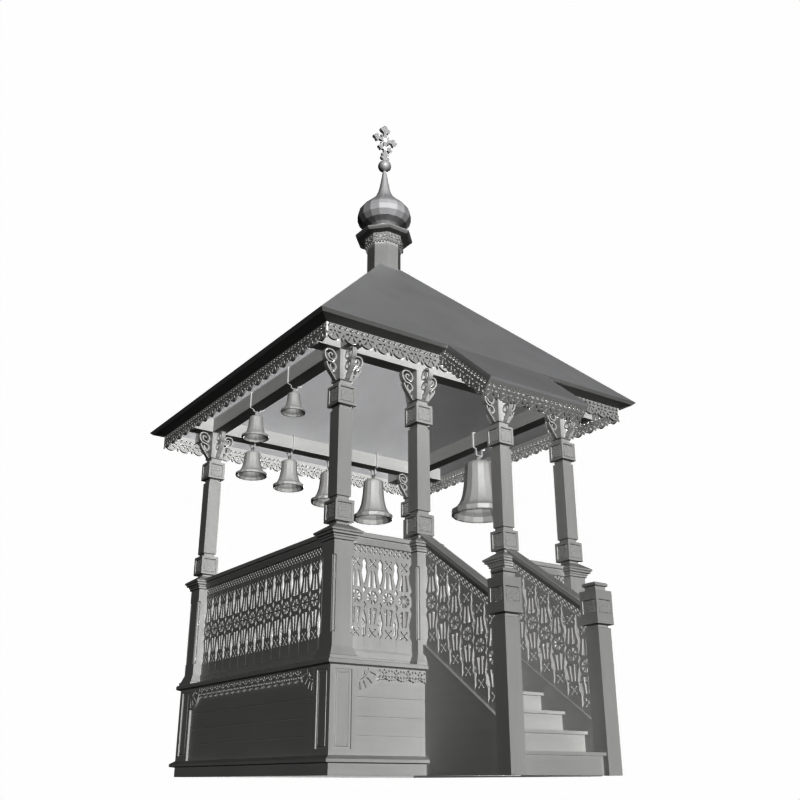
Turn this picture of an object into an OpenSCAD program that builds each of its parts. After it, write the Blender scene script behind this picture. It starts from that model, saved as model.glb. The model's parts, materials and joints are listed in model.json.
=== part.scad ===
// Timber bell tower: sided base with steps, open belfry, pyramid roof, onion dome, seven bells.
// The plan centre of the belfry stands plan_y behind the origin, so that the origin is
// under the middle of the whole object. Front is -Y, up is +Z, lengths are millimetres.

/* [Base] */
// Half width over the siding of the base
wall_face = 1467; // [1300:1:1650]
// Thickness of the framed and boarded base walls
wall_t = 45; // [30:1:80]
// Height of one step
riser_h = 170; // [140:1:190]
// Number of risers up to the deck
riser_count = 5; // [4:1:7]
// Depth of one step
run = 250; // [220:1:300]
// Thickness of the deck
deck_t = 40; // [30:1:60]
// Width of a corner pilaster
pilaster_w = 256; // [200:1:320]
// Thickness of the boards laid on the siding
board_t = 23; // [15:1:30]
// Reach of the plinth and belt mouldings past the siding
nosing = 61; // [45:1:80]

/* [Stairs] */
// Clear width between the stair walls
stair_w = 1000; // [900:1:1040]
// Thickness of a stair wall
stair_wall_t = 38; // [30:1:60]
// Thickness of a tread
tread_t = 27; // [22:1:40]
// Side of the square newel block
newel_block = 190; // [170:1:200]
// Side of the newel shaft
newel_w = 150; // [120:1:160]
// Side of the newel's neck, between its block and its cap
newel_neck = 120; // [100:1:140]
// Side of the newel's cap
newel_cap = 150; // [130:1:200]

/* [Belfry] */
// Distance of the posts' centres in from the siding of the base
post_inset = 97; // [80:1:140]
// Distance of the middle front posts' centres past the clear width of the stairs
door_post_reach = 10; // [0:1:40]
// Side of a post's shaft
post_w = 145; // [120:1:160]
// Side of the carved blocks on a post
block_w = 190; // [180:1:196]
// Side of a post's narrow necks
neck_w = 120; // [100:1:130]
// Side of a balustrade pedestal
pedestal_w = 200; // [197:1:240]
// Height of the carved blocks
block_h = 190; // [150:1:210]
// Underside of the beams
beam_z = 3630; // [3500:1:3900]
// Width of a beam
beam_w = 144; // [120:1:160]
// Depth of a beam
beam_h = 160; // [140:1:180]

/* [Balustrade] */
// Height of the rail above the deck
rail_h = 1109; // [1000:1:1150]
// Width of the rail's nosing
rail_w = 122; // [100:1:140]
// Thickness of the fretwork boards
fret_t = 24; // [16:1:30]
// Number of fretwork boards on a full side
side_boards = 15; // [12:1:18]
// Number of fretwork boards beside the steps
front_boards = 4; // [3:1:5]
// Number of fretwork boards under a stair rail
stair_boards = 6; // [5:1:7]
// Width of the gap cut between two boards
slot_w = 34; // [20:1:45]

/* [Roof] */
// Reach of the eaves past the lace
eave_reach = 131; // [100:1:180]
// Height of the eaves below the tops of the beams
eave_drop = 87; // [40:1:120]
// Slope of the main roof in degrees
roof_slope = 46; // [35:1:50]
// Thickness of the roof covering
roof_t = 25; // [15:1:40]
// Reach of the eave lace past the posts' centres
lace_reach = 441; // [350:1:480]
// Height of the eave lace
lace_h = 160; // [120:1:190]
// Thickness of the lace boards
lace_t = 18; // [10:1:24]
// Width of the awning over the steps
awning_w = 1180; // [1100:1:1300]
// Reach of the awning past the eave
awning_reach = 590; // [500:1:640]
// Slope of the awning in degrees
awning_slope = 41.3; // [35:0.1:45]
// Depth of the awning's fascia
fascia_h = 50; // [40:1:70]

/* [Crown] */
// Distance across the flats of the octagonal drum
drum_flats = 370; // [320:1:420]
// Height of the cornice above the point of the roof
cornice_rise = 266; // [200:1:330]
// Largest radius of the onion dome
dome_r = 325; // [280:1:340]
// Height of the onion dome up to its spike
dome_h = 955; // [880:1:1000]
// Radius of the ball
ball_r = 79; // [60:1:100]
// Height of the cross above the ball
cross_h = 536; // [450:1:600]
// Reach of the cross's main arm
arm_reach = 174; // [150:1:200]
// Thickness of the cross
cross_t = 34; // [20:1:40]

/* [Bells] */
// Mouth widths of the bells, left pair first, then the back row, then the great bell
bell_d = [245, 287, 360, 362, 432, 488, 672];
// Heights of the bells from mouth to shoulder
bell_h = [204, 239, 281, 333, 383, 502, 637];
// Drops of the bells' mouths below the beams
mouth_drop = [305, 333, 403, 464, 556, 667, 825];
// Places of the bells along their beams
bell_at = [-457, 355, -898, -410, 146, 786, 0];
// Thickness of a bell's hanging iron, before its share of the bell's width
iron_t = 6; // [4:1:10]
// Share of a bell's width that is added to its hanging iron
iron_share = 0.027; // [0.02:0.001:0.035]
// Clear width of a strap's narrow neck
strap_neck = 60; // [50:1:76]
// Running gap between the bar and a bell's loop
hang_gap = 0.3; // [0.3:0.1:1]
// Thickness of a bell's loop across the swing
loop_t = 30; // [18:1:36]

/* [Hidden] */
$fn = 64;

timber = "#b9b8b4";
sheet = "#85878a";
bronze = "#9a9a98";
iron = "#7d7d7d";

// Small gap left at mitres, the gap under a seated piece, and the overlap that makes cuts clean.
mitre_gap = 0.4;
seat_gap = 0.3;
clear_cut = 10;

// Heights that the base and the stairs share.
deck_z = riser_h * riser_count;
wall_top = deck_z - deck_t;
ledge = 146;
belt_z = deck_z - 21;
sill_z = deck_z + 24;
board_face = wall_face + board_t;
belt_face = wall_face + nosing;
plinth_board_h = 88;

// Posts stand in from the siding and beside the stairs.
post_at = wall_face - post_inset;
door_post_at = stair_w / 2 + door_post_reach;

// Steps, newels and the slope that the stair rails follow.
slope = riser_h / run;
stair_face = stair_w / 2;
stair_gap = stair_face + 46;
first_riser = wall_face + (riser_count - 1) * run + 59;
tread_nosing = 38;
newel_at = first_riser - 22;
newel_z = deck_z + 328;
newel_block_h = 278;
newel_cap_z = newel_z + newel_block_h + 38;
newel_cap_h = 34;

// Balustrade heights above the deck's wheel line; the stair rails repeat them on the slope.
wheel_z = deck_z + 564;
rail_top = deck_z + rail_h;
rail_low = rail_top - 98;
band_top = deck_z + 126;
pedestal_top = rail_top + 38;
stair_pitch_y = post_at + pedestal_w / 2;
stair_end_y = newel_at - newel_w / 2;
first_board_y = stair_pitch_y + 66;

// Roof, lace and eaves, carried on the beams.
lace_at = post_at + lace_reach;
eave = lace_at + eave_reach;
eave_z = beam_z + beam_h - eave_drop;
soffit_z = eave_z - 53;
soffit_t = 28;

// Plan centre of the belfry: half the difference between the reach of the steps and of the eaves.
reach_front = max(newel_at + max(newel_block, newel_cap) / 2, first_riser + tread_nosing);
plan_y = (reach_front - eave) / 2;

// Roof shape.
rise = tan(roof_slope);
apex_z = eave_z + eave * rise;
drum_r = drum_flats / 2;
cornice_z = apex_z + cornice_rise;
cornice_h = 45;
dome_z = cornice_z + cornice_h + seat_gap;
spike_z = dome_z + dome_h;
spike_r = 25;
ball_seat = sqrt(ball_r ^ 2 - spike_r ^ 2);
ball_z = spike_z + ball_seat + seat_gap;
collar_h = 127;

post_xy = [[-post_at, -post_at], [-door_post_at, -post_at], [door_post_at, -post_at],
    [post_at, -post_at], [-post_at, post_at], [post_at, post_at]];
low_block_z = pedestal_top + 23;
high_block_z = beam_z - 540;

// The beam that each bell hangs from, as a turn about the plan centre.
bell_side = [-90, -90, 180, 180, 180, 180, 90];

// Turns a quarter to each of the four sides; a child is drawn along the front.
module four_sides() for (a = [0 : 90 : 270]) rotate(a) children();

// A front run of a moulding: an outline of [distance out, height] carried along X and
// mitred to meet its neighbours at 45 degrees.
module mitred_run(outline, half) {
    intersection() {
        rotate([90, 0, 90]) translate([0, 0, -half])
            linear_extrude(2 * half) polygon([for (p = outline) [-p[0], p[1]]]);
        translate([0, 0, -clear_cut]) linear_extrude(eave_z + apex_z)
            polygon([[0, -mitre_gap], [-2 * half, -2 * half - mitre_gap],
                [2 * half, -2 * half - mitre_gap]]);
    }
}

// A square turning: half widths and heights, the same outline seen from front and side.
module square_turned(outline) {
    both = concat([for (p = outline) [p[0], p[1]]],
        [for (i = [len(outline) - 1 : -1 : 0]) [-outline[i][0], outline[i][1]]]);
    widest = max([for (p = outline) p[0]]) + clear_cut;
    intersection() {
        rotate([90, 0, 0]) linear_extrude(2 * widest, center = true) polygon(both);
        rotate([90, 0, 90]) linear_extrude(2 * widest, center = true) polygon(both);
    }
}

// A box from two opposite corners.
module span(low, high) translate(low) cube(high - low);

// Moves a piece from the plan centre to its place behind the origin.
module on_plan() translate([0, plan_y, 0]) children();

// ---- base ----

module plinth() color(timber) on_plan() {
    outline = [[wall_face, 0], [board_face, 0], [board_face, plinth_board_h],
        [belt_face + 7, plinth_board_h + 6], [belt_face + 7, plinth_board_h + 31],
        [board_face, ledge], [wall_face, ledge]];
    for (a = [90, 180, 270]) rotate(a) mitred_run(outline, belt_face + clear_cut);
    difference() {
        mitred_run(outline, belt_face + clear_cut);
        span([-stair_gap, -2 * belt_face, -clear_cut], [stair_gap, 0, 2 * ledge]);
    }
}

module front_wall() color(timber) on_plan()
    span([-wall_face, -wall_face, 0], [wall_face, wall_t - wall_face, wall_top]);

module back_wall() color(timber) on_plan()
    span([-wall_face, wall_face - wall_t, 0], [wall_face, wall_face, wall_top]);

module side_wall(side) color(timber) on_plan()
    translate([side * (wall_face - wall_t / 2), 0, wall_top / 2])
        cube([wall_t, 2 * (wall_face - wall_t), wall_top], center = true);

module corner_pilasters() color(timber) on_plan() four_sides()
    difference() {
        span([-board_face, -board_face, ledge],
            [pilaster_w - board_face, pilaster_w - board_face, belt_z]);
        span([-wall_face, -wall_face, 0], [0, 0, deck_z]);
    }

// Frieze strip under the belt, with a quarter-round bracket at each end beside a pilaster.
module frieze_run(x0, x1, left_bracket, right_bracket) {
    strip_h = 107;
    bracket_r = 205;
    translate([0, -wall_face, 0]) rotate([90, 0, 0]) linear_extrude(board_t) {
        translate([x0, belt_z - strip_h]) square([x1 - x0, strip_h]);
        intersection() {
            translate([x0, belt_z - bracket_r]) square([x1 - x0, bracket_r]);
            union() {
                if (left_bracket) translate([x0, belt_z]) circle(bracket_r);
                if (right_bracket) translate([x1, belt_z]) circle(bracket_r);
            }
        }
    }
}

module frieze() color(timber) on_plan() {
    inner = board_face - pilaster_w;
    for (a = [90, 180, 270]) rotate(a) frieze_run(-inner, inner, true, true);
    frieze_run(-inner, -stair_gap, true, false);
    frieze_run(stair_gap, inner, false, true);
}

module deck() color(timber) on_plan()
    span([-wall_face, -wall_face, wall_top], [wall_face, wall_face, deck_z]);

// Belt moulding with the sill that the balustrade stands on; open across the steps.
module deck_belt() color(timber) on_plan() {
    sill_in = post_at - pedestal_w / 2;
    outline = [[wall_face, belt_z], [board_face + 10, belt_z], [belt_face, belt_z + 9],
        [belt_face, sill_z - 6], [belt_face - 6, sill_z], [sill_in, sill_z],
        [sill_in, deck_z], [wall_face, deck_z]];
    for (a = [90, 180, 270]) rotate(a) mitred_run(outline, belt_face + clear_cut);
    difference() {
        mitred_run(outline, belt_face + clear_cut);
        span([-stair_gap, -2 * belt_face, 0], [stair_gap, -wall_face, 2 * deck_z]);
        span([pedestal_w / 2 - door_post_at, -2 * belt_face, 0],
            [door_post_at - pedestal_w / 2, 0, 2 * deck_z]);
    }
}

// ---- stairs ----

module stair_treads() color(timber) on_plan() difference() {
    for (i = [1 : riser_count - 1]) {
        front = first_riser - (i - 1) * run;
        span([-stair_face, -front - tread_nosing, i * riser_h - tread_t],
            [stair_face, -front + run - mitre_gap, i * riser_h]);
    }
    newel_solids();
}

module stair_risers() color(timber) on_plan() difference() {
    for (i = [1 : riser_count - 1]) {
        front = first_riser - (i - 1) * run;
        span([-stair_face, -front, i == 1 ? 0 : (i - 1) * riser_h],
            [stair_face, -front + board_t, i * riser_h - tread_t]);
    }
    newel_solids();
}

// Closed wall under a stair rail, its sloping top following the steps, with a proud cap.
module stair_walls() color(timber) on_plan()
    for (side = [-1, 1]) difference() {
        union() {
            translate([side * (stair_face + stair_wall_t / 2), 0, 0])
                stair_prism(wheel_z - 410, -wheel_z, stair_wall_t, wall_face);
            translate([side * (stair_face + stair_wall_t / 2), 0, 0])
                stair_prism(wheel_z - 410, wheel_z - 487, stair_wall_t + 34, stair_pitch_y);
        }
        span([-belt_face, -newel_at - 2 * run, -wheel_z], [belt_face, 0, 0]);
        span([-belt_face, -wall_face, wall_top], [belt_face, 0, 2 * deck_z]);
        pedestal_solids();
        newel_solids();
    }

// A bar that follows the slope of the steps from start_y out to the newel. Its top and
// bottom heights are those that it would have above the deck.
module stair_prism(top, bottom, width, start_y) {
    drop_start = (start_y - first_board_y) * slope;
    drop_end = (stair_end_y - first_board_y) * slope;
    flat_bottom = bottom < 0;
    rotate([90, 0, 90]) linear_extrude(width, center = true)
        polygon([[-start_y, top - drop_start], [-start_y, flat_bottom ? 0 : bottom - drop_start],
            [-stair_end_y, flat_bottom ? 0 : bottom - drop_end], [-stair_end_y, top - drop_end]]);
}

module newels() color(timber) on_plan() newel_solids();

module newel_solids()
    for (side = [-1, 1]) translate([side * door_post_at, -newel_at, 0]) square_turned([
        [newel_w / 2, 0], [newel_w / 2, newel_z - 32], [newel_w / 2 - 15, newel_z - 26],
        [newel_w / 2 - 15, newel_z - 8], [newel_block / 2, newel_z],
        [newel_block / 2, newel_z + newel_block_h], [newel_neck / 2, newel_z + newel_block_h + 8],
        [newel_neck / 2, newel_cap_z], [newel_cap / 2, newel_cap_z + 6],
        [newel_cap / 2, newel_cap_z + newel_cap_h - 6],
        [newel_cap / 2 - 15, newel_cap_z + newel_cap_h]]);

module stair_rails() color(timber) on_plan() difference() {
    for (side = [-1, 1]) translate([side * door_post_at, 0, 0]) {
        stair_prism(rail_top + 14, rail_top - 38, rail_w, stair_pitch_y);
        stair_prism(rail_top - 38, rail_low, rail_w - 30, stair_pitch_y);
    }
    pedestal_solids();
    newel_solids();
}

// Boards under a stair rail, each a step lower than the last, pierced between.
module stair_fretwork(side) color(timber) on_plan()
    translate([side * door_post_at, 0, 0]) difference() {
        stair_prism(rail_low, wheel_z - 410, fret_t, stair_pitch_y);
        pitch = (stair_end_y - stair_pitch_y) / stair_boards;
        for (i = [1 : stair_boards - 1]) {
            y = stair_pitch_y + i * pitch;
            translate([0, -y, -(y - first_board_y) * slope]) rotate(90) board_gap();
        }
        translate([-side * door_post_at, 0, 0]) pedestal_solids();
        translate([-side * door_post_at, 0, 0]) newel_solids();
    }

// ---- balustrade ----

// The opening between two boards: two long slots, above and below the wheel line.
module board_gap() {
    slot_h = 250;
    for (z = [wheel_z + 42, wheel_z - 42 - slot_h]) translate([0, 0, z]) rotate([90, 0, 0])
        linear_extrude(rail_w, center = true) {
            translate([-slot_w / 2, slot_w / 2]) square([slot_w, slot_h - slot_w]);
            for (end = [slot_w / 2, slot_h - slot_w / 2]) translate([0, end]) circle(slot_w / 2);
        }
}

// A run of boards standing on the sill between two pedestals, from x0 to x1.
module fretwork(x0, x1, count) translate([0, -post_at, 0]) difference() {
    union() {
        span([x0, -fret_t / 2, sill_z], [x1, fret_t / 2, rail_low]);
        span([x0, -fret_t, sill_z], [x1, fret_t, band_top]);
    }
    pitch = (x1 - x0) / count;
    for (i = [1 : count - 1]) translate([x0 + i * pitch, 0, 0]) board_gap();
    translate([0, post_at, 0]) pedestal_solids();
}

bay_out = post_at - pedestal_w / 2;
door_out = door_post_at + pedestal_w / 2;

module fretwork_front(side) color(timber) on_plan() mirror([side > 0 ? 1 : 0, 0, 0])
    fretwork(-bay_out, -door_out, front_boards);

module fretwork_side(turn) color(timber) on_plan() rotate(turn)
    fretwork(-bay_out, bay_out, side_boards);

// Rail section, half width against height.
module rail_run(x0, x1) translate([0, -post_at, 0]) rotate([90, 0, 90])
    translate([0, 0, x0]) linear_extrude(x1 - x0)
        polygon([for (s = [-1, 1]) each [for (p = s > 0 ? rail_outline() : rail_outline_back())
            [s * p[0], p[1]]]]);

function rail_outline() = [[rail_w / 2 - 25, rail_low], [rail_w / 2 - 18, rail_top - 52],
    [rail_w / 2, rail_top - 44], [rail_w / 2, rail_top - 24], [rail_w / 2 - 8, rail_top]];
function rail_outline_back() = [for (i = [4 : -1 : 0]) rail_outline()[i]];

module top_rails() color(timber) on_plan() difference() {
    union() {
        for (a = [90, 180, 270]) rotate(a) rail_run(-bay_out, bay_out);
        rail_run(-bay_out, -door_out);
        rail_run(door_out, bay_out);
    }
    pedestal_solids();
}

module pedestals() color(timber) on_plan() pedestal_solids();

module pedestal_solids()
    for (p = post_xy) translate([p[0], p[1], 0]) square_turned([
        [pedestal_w / 2, sill_z], [pedestal_w / 2 + 38, sill_z],
        [pedestal_w / 2 + 38, sill_z + 29], [pedestal_w / 2, sill_z + 106],
        [pedestal_w / 2, pedestal_top - 145], [pedestal_w / 2 + 15, pedestal_top - 141],
        [pedestal_w / 2 + 24, pedestal_top - 103], [pedestal_w / 2 + 44, pedestal_top - 78],
        [pedestal_w / 2 + 58, pedestal_top - 62], [neck_w / 2 + 6, pedestal_top]]);

// ---- posts, brackets and beams ----

module post(i) color(timber) on_plan() translate([post_xy[i][0], post_xy[i][1], 0]) square_turned([
    [neck_w / 2, pedestal_top], [neck_w / 2, low_block_z - 6], [block_w / 2, low_block_z],
    [block_w / 2, low_block_z + block_h], [neck_w / 2, low_block_z + block_h + 6],
    [neck_w / 2, low_block_z + block_h + 34], [post_w / 2, low_block_z + block_h + 40],
    [post_w / 2, high_block_z - 40], [neck_w / 2, high_block_z - 34],
    [neck_w / 2, high_block_z - 6], [block_w / 2, high_block_z],
    [block_w / 2, high_block_z + block_h], [neck_w / 2, high_block_z + block_h + 6],
    [neck_w / 2, high_block_z + block_h + 44], [post_w / 2, high_block_z + block_h + 50],
    [post_w / 2, beam_z]]);

// Scroll brackets: a large and a small round on a tapering leaf, four to a post.
module post_brackets() {
    reach = 131;
    top_r = 65;
    low_r = 44;
    color(timber) on_plan() for (p = post_xy) translate([p[0], p[1], 0]) four_sides()
        rotate([90, 0, 0]) linear_extrude(48, center = true) {
            translate([post_w / 2 + reach - top_r, beam_z - top_r]) circle(top_r);
            translate([post_w / 2 + low_r, beam_z - 2 * top_r - low_r + 12]) circle(low_r);
            polygon([[post_w / 2, beam_z], [post_w / 2 + reach - top_r, beam_z],
                [post_w / 2 + 60, beam_z - 130], [post_w / 2 + 26, beam_z - 250],
                [post_w / 2, beam_z - 290]]);
        }
}

// A beam along X at the front, half-lapped over or under the beams that cross it.
module beam(turn, laps_over) color(timber) on_plan() rotate(turn) difference() {
    span([lace_t - lace_at, -post_at - beam_w / 2, beam_z],
        [lace_at - lace_t, beam_w / 2 - post_at, beam_z + beam_h]);
    for (side = [-1, 1]) translate([side * post_at, -post_at, beam_z + (laps_over ? 0 : beam_h)])
        cube([beam_w, 2 * beam_w, beam_h], center = true);
}

// ---- roof ----

// The whole roof as a solid pyramid, for what stands on it or runs into it.
module roof_pyramid() square_turned([[eave, eave_z], [0, apex_z]]);

// One of the roof's four slopes, mitred along the hips and cut level at the eaves.
module roof_side(turn) color(sheet) on_plan() rotate(turn) mitred_run([
    [eave, eave_z], [0, apex_z], [0, apex_z - roof_t / cos(roof_slope)],
    [eave - roof_t / sin(roof_slope), eave_z]], eave);

// Flat boards under the eaves, four mitred runs from the lace out to the edge.
module soffit() color(timber) on_plan() soffit_solids();

module soffit_solids() four_sides() mitred_run([
    [lace_at - lace_t, soffit_z], [eave - 30, soffit_z + soffit_t], [eave, eave_z],
    [lace_at - lace_t, eave_z - 20]], eave);

module eave_lace(turn) color(timber) on_plan() rotate(turn) mitred_run([
    [lace_at - lace_t, soffit_z - lace_h], [lace_at, soffit_z - lace_h],
    [lace_at, soffit_z], [lace_at - lace_t, soffit_z]], lace_at);

// A plate in the awning's slope: from y0 to y1 measured down the slope, between two depths
// measured square to it.
module awning_plate(y0, y1, top, bottom, width)
    translate([0, -eave, eave_z]) rotate([awning_slope, 0, 0])
        span([-width / 2, -y1, bottom], [width / 2, -y0, top]);

awning_length = awning_reach / cos(awning_slope);
awning_depth = fascia_h + lace_h + 15;
fascia_t = lace_t + 4;

module awning_roof() color(sheet) on_plan() difference() {
    awning_plate(-4 * roof_t, awning_length, 0, -roof_t, awning_w);
    roof_pyramid();
    span([-awning_w, -eave, 0], [awning_w, 0, eave_z]);
}

// Fascia on the front and both sides, whose ends run in under the soffit to the eave lace.
module awning_frame() color(timber) on_plan() difference() {
    translate([0, -eave, eave_z]) rotate([awning_slope, 0, 0]) translate([0, 0, -fascia_h])
        linear_extrude(fascia_h - roof_t) difference() {
            translate([-awning_w / 2, -awning_length]) square([awning_w, 2 * awning_length]);
            translate([fascia_t - awning_w / 2, fascia_t - awning_length])
                square([awning_w - 2 * fascia_t, 2 * awning_length]);
        }
    under_eaves();
}

module awning_lace() color(timber) on_plan() difference() {
    union() {
        awning_plate(awning_length - lace_t, awning_length, -fascia_h, -awning_depth, awning_w);
        for (side = [-1, 1]) translate([side * (awning_w - lace_t) / 2, 0, 0])
            awning_plate(-awning_reach, awning_length - lace_t - mitre_gap, -fascia_h,
                -awning_depth, lace_t);
    }
    under_eaves();
}

// What the awning's sides stop against: the soffit, the roof and the eave lace.
module under_eaves() {
    soffit_solids();
    span([-awning_w, -lace_at - mitre_gap, 0], [awning_w, 0, 2 * apex_z]);
    span([-awning_w, -eave, soffit_z + soffit_t], [awning_w, 0, 2 * apex_z]);
}

// ---- drum, dome, cross ----

// Octagon with a flat facing each side, by its radius to the flats.
module octagon(flat_r, h) rotate(22.5) cylinder(h = h, r = flat_r / cos(22.5), $fn = 8);

module drum() color(timber) on_plan() difference() {
    translate([0, 0, apex_z - 2 * drum_r])
        octagon(drum_r, cornice_z - seat_gap - apex_z + 2 * drum_r);
    roof_pyramid();
}

module collar_lace() color(timber) on_plan() translate([0, 0, cornice_z - seat_gap - collar_h])
    difference() {
        octagon(drum_r + 32, collar_h);
        translate([0, 0, -1]) octagon(drum_r, collar_h + 2);
    }

module cornice() color(timber) on_plan() translate([0, 0, cornice_z]) rotate(22.5)
    rotate_extrude($fn = 8) polygon([[0, 0], [310, 0], [321, 2], [345, 24], [345, cornice_h],
        [0, cornice_h]]);

// Onion dome: an outline of two blended curves, full at the belly and hollow at the neck.
function mix(a, b, t) = a + (b - a) * t;
function bezier(p, t) = let(a = mix(p[0], p[1], t), b = mix(p[1], p[2], t), c = mix(p[2], p[3], t),
    d = mix(a, b, t), e = mix(b, c, t)) mix(d, e, t);
dome_outline = concat(
    [for (t = [0 : 0.2 : 1]) bezier([[0.69, 0], [0.98, 0.12], [1.06, 0.26], [0.94, 0.37]], t)],
    [for (t = [0.2 : 0.2 : 1]) bezier([[0.94, 0.37], [0.82, 0.46], [0.44, 0.55], [0.32, 0.65]], t)],
    [for (t = [0.25 : 0.25 : 1]) bezier([[0.32, 0.65], [0.24, 0.7], [0.15, 0.85], [0.077, 1]], t)]);

module onion_dome() color(sheet) on_plan() translate([0, 0, dome_z]) rotate_extrude()
    polygon(concat([[0, 0]], [for (p = dome_outline) [p[0] * dome_r, p[1] * dome_h]],
        [[0, dome_h]]));

module ball() color(sheet) on_plan() translate([0, 0, ball_z]) difference() {
    sphere(ball_r);
    translate([0, 0, -2 * ball_r]) cylinder(h = 2 * ball_r - ball_seat, r = ball_r);
    translate([0, 0, ball_seat]) cylinder(h = ball_r, r = ball_r);
}

module cross() color(sheet) on_plan() {
    foot = ball_z + ball_seat + seat_gap;
    bar = 44;
    top = foot + cross_h;
    arm_z = top - 220;
    low_arm_z = top - 347;
    rotate([90, 0, 0]) linear_extrude(cross_t, center = true) {
        translate([-bar / 2, foot]) square([bar, cross_h]);
        translate([0, top - 32]) square(64, center = true);
        translate([0, top - 88]) square([168, 60], center = true);
        translate([0, arm_z]) square([2 * arm_reach, bar], center = true);
        for (side = [-1, 1]) translate([side * (arm_reach - 40), arm_z])
            square([72, 120], center = true);
        translate([0, low_arm_z]) square([196, bar + 16], center = true);
        translate([0, foot + 60]) square([100, 90], center = true);
    }
}

// ---- bells ----

// Heights of the bells' mouths, and of the bar that a bell swings on.
mouth_z = [for (drop = mouth_drop) beam_z - drop];
function pivot_z(i) = mouth_z[i] + bell_h[i] + 25 + 0.09 * bell_d[i];

// Places a child drawn at the origin, with the beam along X, at a bell's place on its beam.
module at_bell(i) on_plan() rotate(bell_side[i])
    translate([(bell_side[i] == 90 ? 1 : -1) * bell_at[i], -post_at, 0]) children();

// Thickness of the square iron that a bell hangs from; the bar at its foot is round.
function iron_size(i) = iron_t + iron_share * bell_d[i];
function bar_r(i) = 0.45 * iron_size(i);

// Iron strap over the beam: down both faces, in under the beam, and a round bar at the foot.
module strap(i) {
    t = iron_size(i);
    out = beam_w / 2 + t;
    neck = strap_neck / 2;
    for (side = [0, 1]) mirror([0, side, 0]) {
        span([-t / 2, 0, beam_z + beam_h], [t / 2, out, beam_z + beam_h + t]);
        span([-t / 2, beam_w / 2, beam_z - t], [t / 2, out, beam_z + beam_h]);
        span([-t / 2, neck, beam_z - 2 * t], [t / 2, out, beam_z - t]);
        span([-t / 2, neck, pivot_z(i) - t], [t / 2, neck + t, beam_z - 2 * t]);
    }
    translate([0, 0, pivot_z(i)]) rotate([90, 0, 0])
        cylinder(h = strap_neck + t, r = bar_r(i), center = true);
}

module bell_straps() color(iron) for (i = [0 : len(bell_d) - 1]) at_bell(i) strap(i);

// Outer wall of a bell as shares of mouth width and height, from the lip up to the crown.
bell_wall = concat([[0.5, 0], [0.495, 0.04]],
    [for (t = [0.1 : 0.15 : 1]) bezier([[0.49, 0.05], [0.33, 0.2], [0.29, 0.5], [0.265, 0.82]], t)],
    [for (t = [0 : 0.2 : 1]) bezier([[0.265, 0.84], [0.25, 0.95], [0.22, 1], [0.12, 1.02]], t)]);
bell_t = 0.045;

// The bell's loop: a link whose rounded top bears on the strap's bar.
module bell_loop(i, crown) {
    inner = bar_r(i) + hang_gap;
    outer = inner + bar_r(i) + 5;
    difference() {
        union() {
            translate([0, 0, pivot_z(i)]) rotate([90, 0, 0])
                cylinder(h = loop_t, r = outer, center = true);
            span([-0.9 * outer, -loop_t / 2, crown], [0.9 * outer, loop_t / 2, pivot_z(i)]);
        }
        translate([0, 0, pivot_z(i)]) rotate([90, 0, 0])
            cylinder(h = 2 * loop_t, r = inner, center = true);
        span([-0.8 * inner, -loop_t, pivot_z(i) - bar_r(i) - 8],
            [0.8 * inner, loop_t, pivot_z(i)]);
    }
}

module bell(i) color(bronze) at_bell(i) {
    d = bell_d[i];
    h = bell_h[i];
    outer = [for (p = bell_wall) [p[0] * d, p[1] * h + mouth_z[i]]];
    inner = [for (p = bell_wall) [max(0.02, p[0] - bell_t) * d,
        (p[1] < 0.01 ? 0 : p[1] - bell_t) * h + mouth_z[i]]];
    top = mouth_z[i] + 1.02 * h;
    union() {
        rotate_extrude() polygon(concat([for (p = inner) p], [[0, top - bell_t * h], [0, top]],
            [for (k = [len(outer) - 1 : -1 : 0]) outer[k]]));
        bell_loop(i, top - 0.5 * bell_t * h);
    }
}

plinth();
front_wall();
back_wall();
side_wall(-1);  // left_wall
side_wall(1);  // right_wall
corner_pilasters();
frieze();
deck();
deck_belt();
stair_treads();
stair_risers();
stair_walls();
newels();
stair_rails();
stair_fretwork(-1);  // stair_fretwork_left
stair_fretwork(1);  // stair_fretwork_right
pedestals();
top_rails();
fretwork_front(-1);  // fretwork_front_left
fretwork_front(1);  // fretwork_front_right
fretwork_side(-90);  // fretwork_left
fretwork_side(90);  // fretwork_right
fretwork_side(180);  // fretwork_back
post(0);  // post_front_left
post(1);  // post_door_left
post(2);  // post_door_right
post(3);  // post_front_right
post(4);  // post_back_left
post(5);  // post_back_right
post_brackets();
beam(0, true);  // front_beam
beam(180, true);  // back_beam
beam(-90, false);  // left_beam
beam(90, false);  // right_beam
roof_side(0);  // roof_front
roof_side(180);  // roof_back
roof_side(-90);  // roof_left
roof_side(90);  // roof_right
soffit();
eave_lace(0);  // lace_front
eave_lace(180);  // lace_back
eave_lace(-90);  // lace_left
eave_lace(90);  // lace_right
awning_roof();
awning_frame();
awning_lace();
drum();
collar_lace();
cornice();
onion_dome();
ball();
cross();
bell_straps();
bell(0);  // bell_left_front
bell(1);  // bell_left_back
bell(2);  // bell_back_1
bell(3);  // bell_back_2
bell(4);  // bell_back_3
bell(5);  // bell_back_4
bell(6);  // great_bell
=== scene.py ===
# %% [markdown]
# A timber bell tower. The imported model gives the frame: walls, posts, beams, roof and bells in
# their true places. This lesson adds what a carpenter and a smith would finish it with: sawn
# boards, carved blocks, scrolls, sheet-metal gores, cast bands. Everything is in metres.

# %% Load the frame and note its box
import json
import math

import bmesh
import bpy
import numpy as np
from mathutils import Matrix, Vector
from mathutils.geometry import delaunay_2d_cdt


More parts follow.
